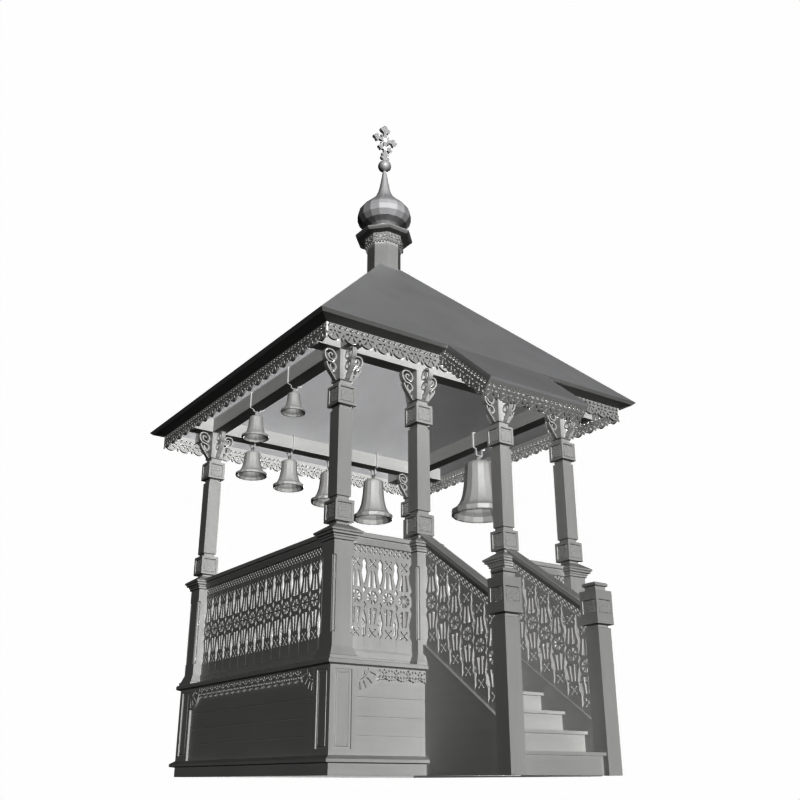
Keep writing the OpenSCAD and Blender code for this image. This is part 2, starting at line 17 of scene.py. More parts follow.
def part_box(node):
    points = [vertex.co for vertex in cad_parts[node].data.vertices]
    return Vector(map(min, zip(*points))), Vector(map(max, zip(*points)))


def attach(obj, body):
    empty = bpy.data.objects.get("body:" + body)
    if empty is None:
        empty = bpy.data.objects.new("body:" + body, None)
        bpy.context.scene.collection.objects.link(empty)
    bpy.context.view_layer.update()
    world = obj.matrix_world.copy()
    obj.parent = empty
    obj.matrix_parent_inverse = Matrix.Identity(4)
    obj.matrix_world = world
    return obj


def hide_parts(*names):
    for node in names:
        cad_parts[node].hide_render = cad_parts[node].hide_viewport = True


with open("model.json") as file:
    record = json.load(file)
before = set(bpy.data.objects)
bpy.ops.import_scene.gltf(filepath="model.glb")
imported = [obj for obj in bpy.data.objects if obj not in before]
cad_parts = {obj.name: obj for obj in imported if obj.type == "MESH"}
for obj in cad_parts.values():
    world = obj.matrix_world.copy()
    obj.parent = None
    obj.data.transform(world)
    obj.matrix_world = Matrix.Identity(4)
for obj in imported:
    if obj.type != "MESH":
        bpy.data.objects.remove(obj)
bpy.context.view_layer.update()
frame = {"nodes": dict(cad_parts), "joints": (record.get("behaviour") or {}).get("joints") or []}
nodes = frame["nodes"]
TOWER = "tower"

# %% [markdown]
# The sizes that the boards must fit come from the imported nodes, so a board always meets the
# post or rail beside it. Distances called "out" are measured from the plan centre of the
# belfry to one of its four sides.

# %% Places read from the frame
deck_low, deck_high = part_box("deck")
PLAN = np.array([0.0, (deck_low.y + deck_high.y) / 2])
WALL_OUT = deck_high.x
DECK_Z = deck_high.z
POST_OUT = sum(corner.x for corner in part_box("post_front_right")) / 2
DOOR_POST = sum(corner.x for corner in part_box("post_door_right")) / 2
RAIL_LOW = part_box("fretwork_right")[1].z
SILL_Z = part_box("deck_belt")[1].z
BELT_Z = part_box("deck_belt")[0].z
BAY_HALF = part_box("fretwork_right")[1].y - PLAN[1]
BEAM_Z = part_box("front_beam")[0].z
BEAM_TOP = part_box("front_beam")[1].z
LACE_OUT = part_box("lace_right")[1].x
LACE_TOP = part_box("lace_right")[1].z
EAVE_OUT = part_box("roof_right")[1].x
EAVE_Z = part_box("roof_right")[0].z
WHEEL_Z = DECK_Z + 0.564
RISER_H, TREAD_RUN = 0.170, 0.250
SLOPE = RISER_H / TREAD_RUN
print("plan centre", PLAN, "posts", POST_OUT, DOOR_POST)

# %% [markdown]
# Every piece here is a list of arrays: corner points, and faces that name them. A shape is
# worked out once as arrays, then repeated, turned and joined as arrays, and only the finished
# piece becomes a Blender mesh.

# %% Joining, repeating and placing parts
def join(parts):
    """One part from many: the points are stacked, and each part's faces count on from the last."""
    points, faces, start = [], [], 0
    for part_points, part_faces in parts:
        points.append(part_points)
        faces += [f + start for f in part_faces]
        start += len(part_points)
    return np.vstack(points), faces


def repeat(part, shifts):
    """Copies of a part, one moved by each row of shifts."""
    points, faces = part
    shifts = np.asarray(shifts, float)
    moved = (points[None] + shifts[:, None]).reshape(-1, 3)
    starts = np.arange(len(shifts)) * len(points)
    return moved, [(f[None] + starts[:, None, None]).reshape(-1, f.shape[1]) for f in faces]


def place(part, origin=(0, 0, 0), turn=0.0):
    """Turns a part about the vertical through 0, then moves it: p' = R(turn) p + origin."""
    points, faces = part
    c, s = math.cos(math.radians(turn)), math.sin(math.radians(turn))
    turned = points @ np.array([[c, s, 0], [-s, c, 0], [0, 0, 1]])
    return turned + np.array(origin, float), faces


def on_side(part, quarter, out):
    """Puts a part drawn at the front, with depth along +Y, on side 0 front, 1 right, 2 back, 3 left."""
    points, faces = part
    return place((points - [0, out, 0], faces), (PLAN[0], PLAN[1], 0), 90 * quarter)


# %% [markdown]
# The finished arrays are written straight into a mesh. Points that fall on each other are
# merged, so that tiles become one board, and the faces are then turned to point outwards.

# %% Arrays to a Blender object
pieces = {}


def piece(name, part, material, body=TOWER, replaces=(), smooth=None):
    """Makes the object, gives it its finish and fastens it to its body."""
    points, faces = part
    mesh = bpy.data.meshes.new(name)
    mesh.vertices.add(len(points))
    mesh.vertices.foreach_set("co", points.astype(np.float32).ravel())
    totals = np.concatenate([np.full(len(f), f.shape[1]) for f in faces])
    mesh.loops.add(int(totals.sum()))
    mesh.loops.foreach_set("vertex_index", np.concatenate([f.ravel() for f in faces]).astype(np.int32))
    mesh.polygons.add(len(totals))
    starts = np.concatenate([[0], np.cumsum(totals)[:-1]])
    mesh.polygons.foreach_set("loop_start", starts.astype(np.int32))
    mesh.update(calc_edges=True)
    mesh.validate()
    work = bmesh.new()
    work.from_mesh(mesh)
    bmesh.ops.remove_doubles(work, verts=work.verts, dist=2e-5)
    bmesh.ops.recalc_face_normals(work, faces=work.faces)
    work.to_mesh(mesh)
    work.free()
    mesh.polygons.foreach_set("use_smooth", np.full(len(mesh.polygons), smooth is not None))
    if smooth is not None:
        mesh.set_sharp_from_angle(angle=math.radians(smooth))
    mesh.materials.append(material)
    obj = bpy.data.objects.new(name, mesh)
    bpy.context.scene.collection.objects.link(obj)
    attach(obj, body)
    for node in replaces:
        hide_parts(node)
    pieces[name] = len(mesh.polygons)
    return obj


# %% [markdown]
# A sawn board is a flat outline with holes, given a thickness. The outline and the holes are
# closed loops of points; a constrained triangulation fills the plane between them, and the
# edges that only one triangle uses are the saw cuts, which become the walls.

# %% A pierced board from closed loops
def inside(points, loops):
    """True where a ray to the right crosses the loops an odd number of times."""
    a = np.vstack(loops)
    b = np.vstack([np.roll(loop, -1, axis=0) for loop in loops])
    x, z = points[:, :1], points[:, 1:]
    crosses = (a[:, 1] > z) != (b[:, 1] > z)
    rise = np.where(b[:, 1] == a[:, 1], 1.0, b[:, 1] - a[:, 1])
    at = a[:, 0] + (z - a[:, 1]) * (b[:, 0] - a[:, 0]) / rise
    return (crosses & (x < at)).sum(1) % 2 == 1


def board(loops, depth, joined_at=()):
    """A board in the XZ plane, depth thick along +Y. No wall is made on the lines x = joined_at,
    where the next tile of the same board follows."""
    points = [Vector(p) for p in np.vstack(loops)]
    edges, start = [], 0
    for loop in loops:
        n = len(loop)
        edges += [(start + i, start + (i + 1) % n) for i in range(n)]
        start += n
    flat, _, triangles, *_ = delaunay_2d_cdt(points, edges, [], 0, 1e-6)
    flat, triangles = np.array([tuple(p) for p in flat]), np.array(triangles)
    triangles = triangles[inside(flat[triangles].mean(1), loops)]
    sides = np.vstack([triangles[:, [0, 1]], triangles[:, [1, 2]], triangles[:, [2, 0]]])
    n = len(flat)
    cut = sides[~np.isin(sides[:, 0] * n + sides[:, 1], sides[:, 1] * n + sides[:, 0])]
    for line in joined_at:
        cut = cut[~(np.abs(flat[cut][:, :, 0] - line) < 1e-6).all(1)]
    front = np.column_stack([flat[:, 0], np.zeros(n), flat[:, 1]])
    walls = np.column_stack([cut[:, 0], cut[:, 1], cut[:, 1] + n, cut[:, 0] + n])
    return np.vstack([front, front + [0, depth, 0]]), [triangles, triangles[:, ::-1] + n, walls]


def run(section, x0, x1):
    """A moulding: a section of (depth, height) points carried straight along X."""
    points, faces = board([np.array(section, float)], 1.0)
    swapped = np.column_stack([x0 + points[:, 1] * (x1 - x0), points[:, 0], points[:, 2]])
    return swapped, faces


# %% [markdown]
# The saw cuts themselves: round holes, curved slots, tapered slots, crosses. Each is one loop
# worked out from angles.

# %% Loops for the saw
def ring(x, z, r, n=12, squash=1.0, tilt=0.0):
    """A circle, or an ellipse squashed across its tilted axis."""
    t = np.linspace(0, 2 * math.pi, n, endpoint=False)
    u, v = r * np.cos(t), r * squash * np.sin(t)
    c, s = math.cos(math.radians(tilt)), math.sin(math.radians(tilt))
    return np.column_stack([x + u * c - v * s, z + u * s + v * c])


def arc(x, z, r, a0, a1, n=9):
    """Points on a circle from angle a0 to a1, in degrees."""
    t = np.radians(np.linspace(a0, a1, n))
    return np.column_stack([x + r * np.cos(t), z + r * np.sin(t)])


def crescent(x, z, r, thick, a0, a1, n=9):
    """A slot that follows a circle and thins to nothing at both ends."""
    t = np.radians(np.linspace(a0, a1, n))
    half = thick / 2 * np.sin(np.linspace(0, math.pi, n)) ** 0.6 + 0.0004
    outer = np.column_stack([x + (r + half) * np.cos(t), z + (r + half) * np.sin(t)])
    inner = np.column_stack([x + (r - half) * np.cos(t), z + (r - half) * np.sin(t)])
    return np.vstack([outer, inner[::-1]])


def spoke_slot(x, z, angle, r0, r1, half0, half1, n=4):
    """A slot along a radius, half0 wide at its inner end and half1 at its rounded outer end."""
    tip = np.radians(np.linspace(-90, 90, n))
    u = np.concatenate([[r0], r1 - half1 + half1 * np.cos(tip), [r0]])
    v = np.concatenate([[-half0], half1 * np.sin(tip), [half0]])
    c, s = math.cos(math.radians(angle)), math.sin(math.radians(angle))
    return np.column_stack([x + u * c - v * s, z + u * s + v * c])


def cross_cut(x, z, reach, half, ball):
    """Two crossed saw cuts at 45 degrees, each ending in a drilled round."""
    loop = []
    for k in range(4):
        a = math.radians(45 + 90 * k)
        along, across = np.array([math.cos(a), math.sin(a)]), np.array([-math.sin(a), math.cos(a)])
        inner = math.asin(half / ball)
        t = np.linspace(math.pi - inner, inner - math.pi, 7)
        loop.append((along - across) * half)
        loop += [along * (reach + ball * math.cos(s)) - across * ball * math.sin(s) for s in t]
    return np.array(loop) + [x, z]


# %% [markdown]
# Turned and octagonal pieces are one outline of radius and height, carried round the upright
# axis. With four or eight sides the radius is measured to the flats, as a joiner would.

# %% A piece carried round an axis
def turned(outline, sides, flats=False, spin=0.0, closed=False):
    """Point (i, j) is outline point i at angle 2 pi j / sides."""
    outline = np.array(outline, float)
    t = 2 * math.pi * (np.arange(sides) + (0.5 if flats else 0)) / sides + math.radians(spin)
    r = outline[:, :1] / (math.cos(math.pi / sides) if flats else 1)
    points = np.stack([r * np.cos(t), r * np.sin(t), np.repeat(outline[:, 1:], sides, 1)], -1)
    rows, n = len(outline), sides
    index = np.arange(rows * n).reshape(rows, n)
    below = index if closed else index[:-1]
    above = np.roll(index, -1, 0) if closed else index[1:]
    quads = np.stack([below, np.roll(below, -1, 1), np.roll(above, -1, 1), above], -1).reshape(-1, 4)
    faces = [quads]
    if not closed:
        faces += [index[i][None] for i in (0, -1) if outline[i, 0] > 1e-6]
    return points.reshape(-1, 3), faces


def mix(a, b, t):
    return np.asarray(a, float) * (1 - t) + np.asarray(b, float) * t


def bezier(p0, p1, p2, p3, n):
    """A cubic curve through p0 and p3, leaving and arriving along the handles p1 and p2."""
    t = np.linspace(0, 1, n)[:, None]
    a, b, c = mix(p0, p1, t), mix(p1, p2, t), mix(p2, p3, t)
    return (a * (1 - t) + b * t) * (1 - t) + (b * (1 - t) + c * t) * t


def ribbon(path, half, depth):
    """A flat bar sawn along a path in XZ: half its width either side of the path, depth along Y."""
    path = np.asarray(path, float)
    way = np.gradient(path, axis=0)
    way /= np.linalg.norm(way, axis=1)[:, None]
    side = np.column_stack([-way[:, 1], way[:, 0]]) * np.broadcast_to(half, len(path))[:, None]
    corners = [path + side, path - side]
    n = len(path)
    rows = np.array([np.column_stack([c[:, 0], np.full(n, y), c[:, 1]])
                     for y in (-depth / 2, depth / 2) for c in corners])
    order = rows[[0, 1, 3, 2]].transpose(1, 0, 2).reshape(-1, 3)
    index = np.arange(4 * n).reshape(n, 4)
    a, b = index[:-1], index[1:]
    quads = np.stack([a, np.roll(a, -1, 1), np.roll(b, -1, 1), b], -1).reshape(-1, 4)
    return order, [quads, index[:1], index[-1:]]


# %% [markdown]
# ## Finishes
# Grey oil paint over softwood still shows the grain. The grain is a node group, so that every
# timber piece uses one recipe with its own direction: noise stretched along the board gives
# the fibres, and a slower noise gives the uneven coat. Weathering is a second group that
# every finish shares.

# %% Shader node groups
def group(name, inputs, outputs):
    tree = bpy.data.node_groups.new(name, "ShaderNodeTree")
    for label, kind, value in inputs:
        socket = tree.interface.new_socket(label, in_out="INPUT", socket_type=kind)
        socket.default_value = value
    for label, kind in outputs:
        tree.interface.new_socket(label, in_out="OUTPUT", socket_type=kind)
    return tree, tree.nodes.new("NodeGroupInput"), tree.nodes.new("NodeGroupOutput")


def math_node(tree, operation, a, b=None, c=None):
    """A Math node; an argument is a socket or a number."""
    node = tree.nodes.new("ShaderNodeMath")
    node.operation = operation
    for i, value in enumerate((a, b, c)):
        if value is None:
            continue
        if isinstance(value, (int, float)):
            node.inputs[i].default_value = value
        else:
            tree.links.new(value, node.inputs[i])
    return node.outputs[0]


def noise(tree, vector, scale, detail=3.0, rough=0.5):
    node = tree.nodes.new("ShaderNodeTexNoise")
    node.inputs["Scale"].default_value = scale
    node.inputs["Detail"].default_value = detail
    node.inputs["Roughness"].default_value = rough
    tree.links.new(vector, node.inputs["Vector"])
    return node.outputs["Fac"]


def grain_group():
    """Fibres: noise that is stretched along the board. Height falls into them, Tint darkens them."""
    tree, head, tail = group("board_grain", [("Stretched", "NodeSocketVector", (0, 0, 0)),
                                             ("Depth", "NodeSocketFloat", 0.3)],
                             [("Height", "NodeSocketFloat"), ("Tint", "NodeSocketFloat")])
    fibre = noise(tree, head.outputs["Stretched"], 1.0, 6.0, 0.62)
    coat = noise(tree, head.outputs["Stretched"], 0.12, 2.0)
    both = math_node(tree, "MULTIPLY_ADD", coat, 0.6, fibre)
    tree.links.new(math_node(tree, "MULTIPLY", both, head.outputs["Depth"]), tail.inputs["Height"])
    tint = math_node(tree, "MULTIPLY_ADD", math_node(tree, "SUBTRACT", both, 0.8), 0.10, 1.0)
    tree.links.new(tint, tail.inputs["Tint"])
    return tree


def weather_group():
    """Soft blotches of dust and rain marks. Tint multiplies the colour, Rough adds to the gloss."""
    tree, head, tail = group("weathering", [("Vector", "NodeSocketVector", (0, 0, 0)),
                                            ("Amount", "NodeSocketFloat", 0.1)],
                             [("Tint", "NodeSocketFloat"), ("Rough", "NodeSocketFloat")])
    blotch = math_node(tree, "SUBTRACT", noise(tree, head.outputs["Vector"], 1.7, 4.0), 0.5)
    speck = math_node(tree, "SUBTRACT", noise(tree, head.outputs["Vector"], 60.0, 2.0), 0.5)
    both = math_node(tree, "MULTIPLY_ADD", speck, 0.35, blotch)
    scaled = math_node(tree, "MULTIPLY", both, head.outputs["Amount"])
    tree.links.new(math_node(tree, "ADD", scaled, 1.0), tail.inputs["Tint"])
    tree.links.new(math_node(tree, "MULTIPLY", scaled, 0.6), tail.inputs["Rough"])
    return tree


GRAIN = grain_group()
WEATHER = weather_group()


# %% [markdown]
# One function builds a finish from those groups: its base grey, how the grain runs, how rough
# and how metallic it is. Only the colour, the roughness and the bump change over the surface.

# %% Finishes
def finish(name, grey, rough, metal=0.0, stretch=(18, 18, 1.2), bump=0.35, grain=0.3, wear=0.10,
           specular=0.4):
    material = bpy.data.materials.new(name)
    material.use_nodes = True
    tree = material.node_tree
    shader = tree.nodes["Principled BSDF"]
    shader.inputs["Metallic"].default_value = metal
    shader.inputs["Specular IOR Level"].default_value = specular
    place_node = tree.nodes.new("ShaderNodeTexCoord")
    mapping = tree.nodes.new("ShaderNodeMapping")
    mapping.inputs["Scale"].default_value = stretch
    tree.links.new(place_node.outputs["Object"], mapping.inputs["Vector"])
    fibres = tree.nodes.new("ShaderNodeGroup")
    fibres.node_tree = GRAIN
    fibres.inputs["Depth"].default_value = grain
    tree.links.new(mapping.outputs["Vector"], fibres.inputs["Stretched"])
    marks = tree.nodes.new("ShaderNodeGroup")
    marks.node_tree = WEATHER
    marks.inputs["Amount"].default_value = wear
    tree.links.new(place_node.outputs["Object"], marks.inputs["Vector"])
    tint = math_node(tree, "MULTIPLY", fibres.outputs["Tint"], marks.outputs["Tint"])
    colour = tree.nodes.new("ShaderNodeVectorMath")
    colour.operation = "SCALE"
    colour.inputs[0].default_value = grey
    tree.links.new(tint, colour.inputs["Scale"])
    tree.links.new(colour.outputs[0], shader.inputs["Base Color"])
    tree.links.new(math_node(tree, "ADD", marks.outputs["Rough"], rough), shader.inputs["Roughness"])
    relief = tree.nodes.new("ShaderNodeBump")
    relief.inputs["Strength"].default_value = bump
    relief.inputs["Distance"].default_value = 0.002
    tree.links.new(fibres.outputs["Height"], relief.inputs["Height"])
    tree.links.new(relief.outputs["Normal"], shader.inputs["Normal"])
    return material


TIMBER_GREY = (0.42, 0.42, 0.415)
upright = finish("paint_upright_grain", TIMBER_GREY, 0.55)
level_x = finish("paint_grain_along_x", TIMBER_GREY, 0.55, stretch=(1.2, 18, 18))
level_y = finish("paint_grain_along_y", TIMBER_GREY, 0.55, stretch=(18, 1.2, 18))
roofing = finish("painted_roof_sheet", (0.48, 0.48, 0.485), 0.5, stretch=(3, 3, 3), bump=0.15, wear=0.12)
gilding = finish("dome_sheet", (0.56, 0.56, 0.565), 0.55, metal=0.1, stretch=(4, 4, 4), bump=0.1,
                 specular=0.45)
casting = finish("cast_bell_metal", (0.41, 0.41, 0.405), 0.55, metal=0.1, stretch=(40, 40, 40),
                 bump=0.2, wear=0.16, specular=0.4)
forging = finish("forged_iron", (0.5, 0.5, 0.5), 0.5, metal=0.2, stretch=(60, 60, 60), bump=0.4)


# %% [markdown]
# The camera looks up from ground level at the front left corner. Its place and lens are the
# first thing made, so that every later piece can be judged from there.

# %% Camera
camera_data = bpy.data.cameras.new("camera")
camera = bpy.data.objects.new("camera", camera_data)
bpy.context.scene.collection.objects.link(camera)
camera_data.sensor_width = 36
camera_data.lens = 42.83
camera.location = (-5.527, PLAN[1] - 8.2155, -0.051)
yaw, pitch = math.radians(35.036), math.radians(21.89)
ahead = Vector((math.sin(yaw) * math.cos(pitch), math.cos(yaw) * math.cos(pitch), math.sin(pitch)))
camera.rotation_euler = ahead.to_track_quat("-Z", "Y").to_euler()
bpy.context.scene.camera = camera

# %% [markdown]
# ## Eave lace
# The boards that hang from the eaves are one pattern repeated. Each repeat has three drilled
# holes with a crescent under each, half a rosette in a scallop, and a pointed drop shared with
# the next repeat. A repeat is drawn once and copied along the board.

# %% Lace
LACE_H = 0.150


def lace_tile(p):
    """One repeat, p wide, with its top edge at height 0."""
    half, middle, rim = p / 2, -0.070, 0.083
    drop_hole = -0.102
    scallop = arc(0, middle, rim, 210, 330, 15)
    left_hole = arc(-half, drop_hole, 0.0125, 90, -90, 7)
    right_hole = arc(half, drop_hole, 0.0125, 270, 90, 7)
    outline = np.vstack([[(-half, 0)], left_hole, [(-half, -LACE_H), (-half + 0.014, -0.126)], scallop,
                         [(half - 0.014, -0.126), (half, -LACE_H)], right_hole, [(half, 0)]])
    cuts = [outline, ring(0, middle, 0.0105, 10)]
    for x in (-p / 3, 0, p / 3):
        cuts += [ring(x, -0.0145, 0.0082, 8), crescent(x, -0.0145, 0.0225, 0.0125, 205, 335, 7)]
    for angle in (184, 356):
        cuts.append(spoke_slot(0, middle, angle, 0.026, 0.062, 0.003, 0.0080))
    for angle in (238, 302):
        cuts.append(spoke_slot(0, middle, angle, 0.023, 0.070, 0.003, 0.0105))
    return cuts


def lace_board(length, count, depth=0.018):
    p = length / count
    tile = board(lace_tile(p), depth, joined_at=(-p / 2, p / 2))
    row = repeat(tile, [(p * (k - (count - 1) / 2), 0, 0) for k in range(count)])
    ends = np.array([[s * length / 2, y, z] for s in (-1, 1) for z0, z1 in ((0, -0.0895), (-0.1145, -LACE_H))
                     for y, z in ((0, z0), (depth, z0), (depth, z1), (0, z1))])
    return join([row, (ends, [np.arange(16).reshape(4, 4)])])


eave_lace = lace_board(2 * LACE_OUT, 21)
for side, quarter, finish_used in (("front", 0, level_x), ("right", 1, level_y),
                                   ("back", 2, level_x), ("left", 3, level_y)):
    lifted = (eave_lace[0] + [0, 0, LACE_TOP], eave_lace[1])
    piece("pierced_lace_" + side, on_side(lifted, quarter, LACE_OUT), finish_used,
          replaces=["lace_" + side])
print("lace faces", pieces["pierced_lace_front"])

# %% [markdown]
# The awning's lace is the same pattern, tipped so that it hangs square to the awning's slope:
# the front board faces down the slope, and the two side boards run up it to the eave.

# %% Awning lace
AWNING_TIP = math.radians(41.3)
FASCIA = 0.050
awning_low, awning_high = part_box("awning_roof")
AWNING_HALF = awning_high.x
AWNING_LONG = (PLAN[1] - EAVE_OUT - awning_low.y) / math.cos(AWNING_TIP)


def on_awning(part):
    """Takes a part drawn with Y down the slope and Z square to it, from the eave's edge."""
    points, faces = part
    c, s = math.cos(AWNING_TIP), math.sin(AWNING_TIP)
    x, y, z = points.T
    return np.column_stack([x, PLAN[1] - EAVE_OUT - y * c - z * s, EAVE_Z - y * s + z * c]), faces


front_lace = lace_board(2 * AWNING_HALF, 7)
p_front = front_lace[0]
front_tipped = (np.column_stack([p_front[:, 0], AWNING_LONG - p_front[:, 1], p_front[:, 2] - FASCIA]), front_lace[1])
side_length = 5 * 2 * AWNING_HALF / 7
side_lace = lace_board(side_length, 5)
q = side_lace[0]
sides_tipped = [(np.column_stack([s * (AWNING_HALF - 0.009) + (q[:, 1] - 0.009),
                                  q[:, 0] + AWNING_LONG - 0.019 - side_length / 2, q[:, 2] - FASCIA]), side_lace[1])
                for s in (-1, 1)]
piece("awning_pierced_lace", join([on_awning(part) for part in [front_tipped] + sides_tipped]), level_x,
      replaces=["awning_lace"])

# %% [markdown]
# ## Balustrade
# Each upright board is sawn to the same template: a wheel of eight openings in the middle, a
# pair of tapered slots above and below it, and a crossed cut beyond them. The board's own
# edges are cut in as well, so that two neighbours leave a long lens and a small diamond
# between them.

# %% Fretwork boards
GAP_HEIGHTS = [0.0, 0.034, 0.062, 0.092, 0.103, 0.150, 0.205, 0.232, 0.262, 0.300, 0.337]
GAP_WIDTHS = [0.0, 0.0, 0.019, 0.0, 0.0, 0.017, 0.029, 0.026, 0.018, 0.024, 0.0]


def fret_board(pitch, low, high, tilt=0.0):
    """A board pitch wide and centred on its wheel, from low to high, its ends cut at slope tilt."""
    edge_z = np.array([-h for h in GAP_HEIGHTS[::-1]] + GAP_HEIGHTS[1:])
    edge_x = pitch / 2 - 0.0009 - np.array(GAP_WIDTHS[::-1] + GAP_WIDTHS[1:])
    right = np.column_stack([edge_x, edge_z])
    full = pitch / 2 - 0.0009
    ends = np.array([(full, low - tilt * full)]), np.array([(full, high - tilt * full)])
    far = np.array([(-full, high + tilt * full)]), np.array([(-full, low + tilt * full)])
    outline = np.vstack([ends[0], right, ends[1], far[0], (right * [-1, 1])[::-1], far[1]])
    cuts = [outline]
    for k in range(8):
        middle = 22.5 + 45 * k
        cuts.append(np.vstack([arc(0, 0, 0.017, middle, middle, 1), arc(0, 0, 0.056, middle - 18, middle + 18, 5)]))
    for up in (-1, 1):
        cuts.append(cross_cut(0, 0.296 * up, 0.041, 0.0042, 0.0088))
        for s in (-1, 1):
            slot = np.array([(0.011, 0.084), (0.046, 0.090), (0.043, 0.112), (0.025, 0.226), (0.012, 0.226)])
            cuts.append(slot * [s, up])
    return cuts


def lattice_strip(length, low, high):
    """A strip pierced by three staggered rows of holes, so that slanting bars are left between."""
    count = max(2, round(length / 0.050))
    p, mid = length / count, (low + high) / 2
    outline = np.array([(-p / 2, low), (p / 2, low), (p / 2, high), (-p / 2, high)])
    holes = [ring(-p / 4, mid + 0.023, 0.0100, 8), ring(-p / 4, mid - 0.023, 0.0125, 8, 0.62, -25),
             ring(p / 4, mid, 0.0130, 8, 0.8, -60)]
    tile = board([outline] + holes, 0.014, (-p / 2, p / 2))
    return repeat(tile, [(p * (k - (count - 1) / 2), 0, 0) for k in range(count)])


LATTICE = 0.072
FRET_LOW, FRET_HIGH = DECK_Z + 0.100 - WHEEL_Z, RAIL_LOW - LATTICE + 0.001 - WHEEL_Z
BAND = [(-0.012, 0), (-0.012, 0.030), (-0.006, 0.034), (-0.006, 0.082), (0.004, 0.102),
        (0.044, 0.102), (0.054, 0.082), (0.054, 0.0)]


def balustrade_run(x0, x1, count):
    """Boards, base band and lattice strip of one run, drawn at the plan's front."""
    pitch, middle = (x1 - x0) / count, (x0 + x1) / 2
    one = board(fret_board(pitch, FRET_LOW, FRET_HIGH), 0.016)
    boards = repeat(one, [(x0 + pitch * (k + 0.5), 0, WHEEL_Z) for k in range(count)])
    band = run([(d - 0.009, SILL_Z + h) for d, h in BAND], x0, x1)
    strip = lattice_strip(x1 - x0, RAIL_LOW - LATTICE, RAIL_LOW)
    strip = repeat(strip, [(middle, 0.004, 0)])
    return join([boards, band, strip])


DOOR_OUT = DOOR_POST + 0.100
FRET_OUT = POST_OUT + 0.010
full_run = balustrade_run(-BAY_HALF, BAY_HALF, 15)
for side, quarter in (("right", 1), ("back", 2), ("left", 3)):
    piece("fret_boards_" + side, on_side(full_run, quarter, FRET_OUT), upright,
          replaces=["fretwork_" + side])
for side, x0, x1 in (("left", -BAY_HALF, -DOOR_OUT), ("right", DOOR_OUT, BAY_HALF)):
    piece("fret_boards_front_" + side, on_side(balustrade_run(x0, x1, 4), 0, FRET_OUT), upright,
          replaces=["fretwork_front_" + side])
print("fretwork faces", pieces["fret_boards_left"])

# %% [markdown]
# Under the stair rails the same boards stand upright but step down with the stairs, so only
# their ends are cut to the slope. The lattice strip above them is sheared to follow the rail.

# %% Stair boards
STAIR_START = POST_OUT + 0.100
STAIR_END = STAIR_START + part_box("stair_fretwork_left")[1].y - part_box("stair_fretwork_left")[0].y
FIRST_BOARD = STAIR_START + 0.066
stair_pitch = (STAIR_END - STAIR_START) / 6
stair_board = board(fret_board(stair_pitch, -0.410, FRET_HIGH + 0.006, SLOPE), 0.016)
places = STAIR_START + stair_pitch * (np.arange(6) + 0.5)
stair_row = repeat(stair_board, [(y, 0, WHEEL_Z - SLOPE * (y - FIRST_BOARD)) for y in places])
stair_strip = lattice_strip(STAIR_END - STAIR_START, RAIL_LOW - LATTICE, RAIL_LOW)
strip_points = stair_strip[0] + [(STAIR_START + STAIR_END) / 2, 0.004, 0]
strip_points[:, 2] -= SLOPE * (strip_points[:, 0] - FIRST_BOARD)
for side, s in (("left", -1), ("right", 1)):
    both = join([stair_row, (strip_points, stair_strip[1])])
    piece("stair_boards_" + side, place(both, (s * DOOR_POST - 0.008, PLAN[1], 0), -90), upright,
          replaces=["stair_fretwork_" + side])

# %% [markdown]
# ## Scroll brackets
# Four brackets crown each post. Each is sawn from thick board as a ribbon that follows two
# scrolls, a large one against the beam and a smaller one below, beside a long leaf. The
# ribbon's middle line is a smooth curve through a few marked points, as a pattern is drawn.

# %% Scrolls
def smooth(points, n=8):
    """A curve through the points: between two of them, Hermite blending with the chord of their neighbours."""
    points = np.array(points, float)
    slope = np.gradient(points, axis=0)
    t = np.linspace(0, 1, n, endpoint=False)[:, None]
    h = [2 * t**3 - 3 * t**2 + 1, t**3 - 2 * t**2 + t, 3 * t**2 - 2 * t**3, t**3 - t**2]
    parts = [h[0] * a + h[1] * ma + h[2] * b + h[3] * mb
             for a, b, ma, mb in zip(points[:-1], points[1:], slope[:-1], slope[1:])]
    return np.vstack(parts + [points[-1:]])


SCROLL = [(62, -68), (57, -53), (76, -43), (94, -62), (84, -90), (53, -106), (26, -98), (15, -62), (42, -19),
          (84, -9), (118, -18), (131, -54), (119, -98), (92, -126), (58, -133), (28, -147), (15, -176), (28, -204),
          (52, -211), (71, -196), (75, -172), (65, -153)]
LEAF = [(110, -137), (104, -160), (90, -190), (66, -224), (42, -254), (22, -284), (7, -298)]
CURLS = [[(66, -224), (52, -222), (44, -230), (48, -240)], [(40, -256), (26, -250), (20, -258), (24, -268)]]


def bracket():
    """Drawn outwards along X from the post's face, with its top at height 0."""
    path, leaf = smooth(SCROLL) / 1000, smooth(LEAF) / 1000
    ease = np.sin(np.linspace(0.35, math.pi - 0.35, len(path)))
    parts = [ribbon(path, 0.0048 + 0.0034 * ease, 0.048), ribbon(leaf, np.linspace(0.009, 0.004, len(leaf)), 0.044)]
    return join(parts + [ribbon(smooth(curl, 5) / 1000, 0.0036, 0.038) for curl in CURLS])


scroll = bracket()
post_half = 0.0725
crown = join([place((scroll[0] + [post_half - 0.002, 0, BEAM_Z], scroll[1]), turn=90 * k) for k in range(4)])
post_spots = [(s * POST_OUT, -POST_OUT) for s in (-1, 1)] + [(s * DOOR_POST, -POST_OUT) for s in (-1, 1)]
post_spots += [(s * POST_OUT, POST_OUT) for s in (-1, 1)]
piece("scroll_brackets", join([place(crown, (x, PLAN[1] + y, 0)) for x, y in post_spots]), upright,
      replaces=["post_brackets"], smooth=40)

# %% [markdown]
# ## Carved blocks
# The square blocks on the posts and newels carry a framed, carved panel on each face. The
# frame is a small section carried round a rectangle. The carving is a height worked out over
# a grid: petals turned by the angle about the middle, and scratches of the gouge between.

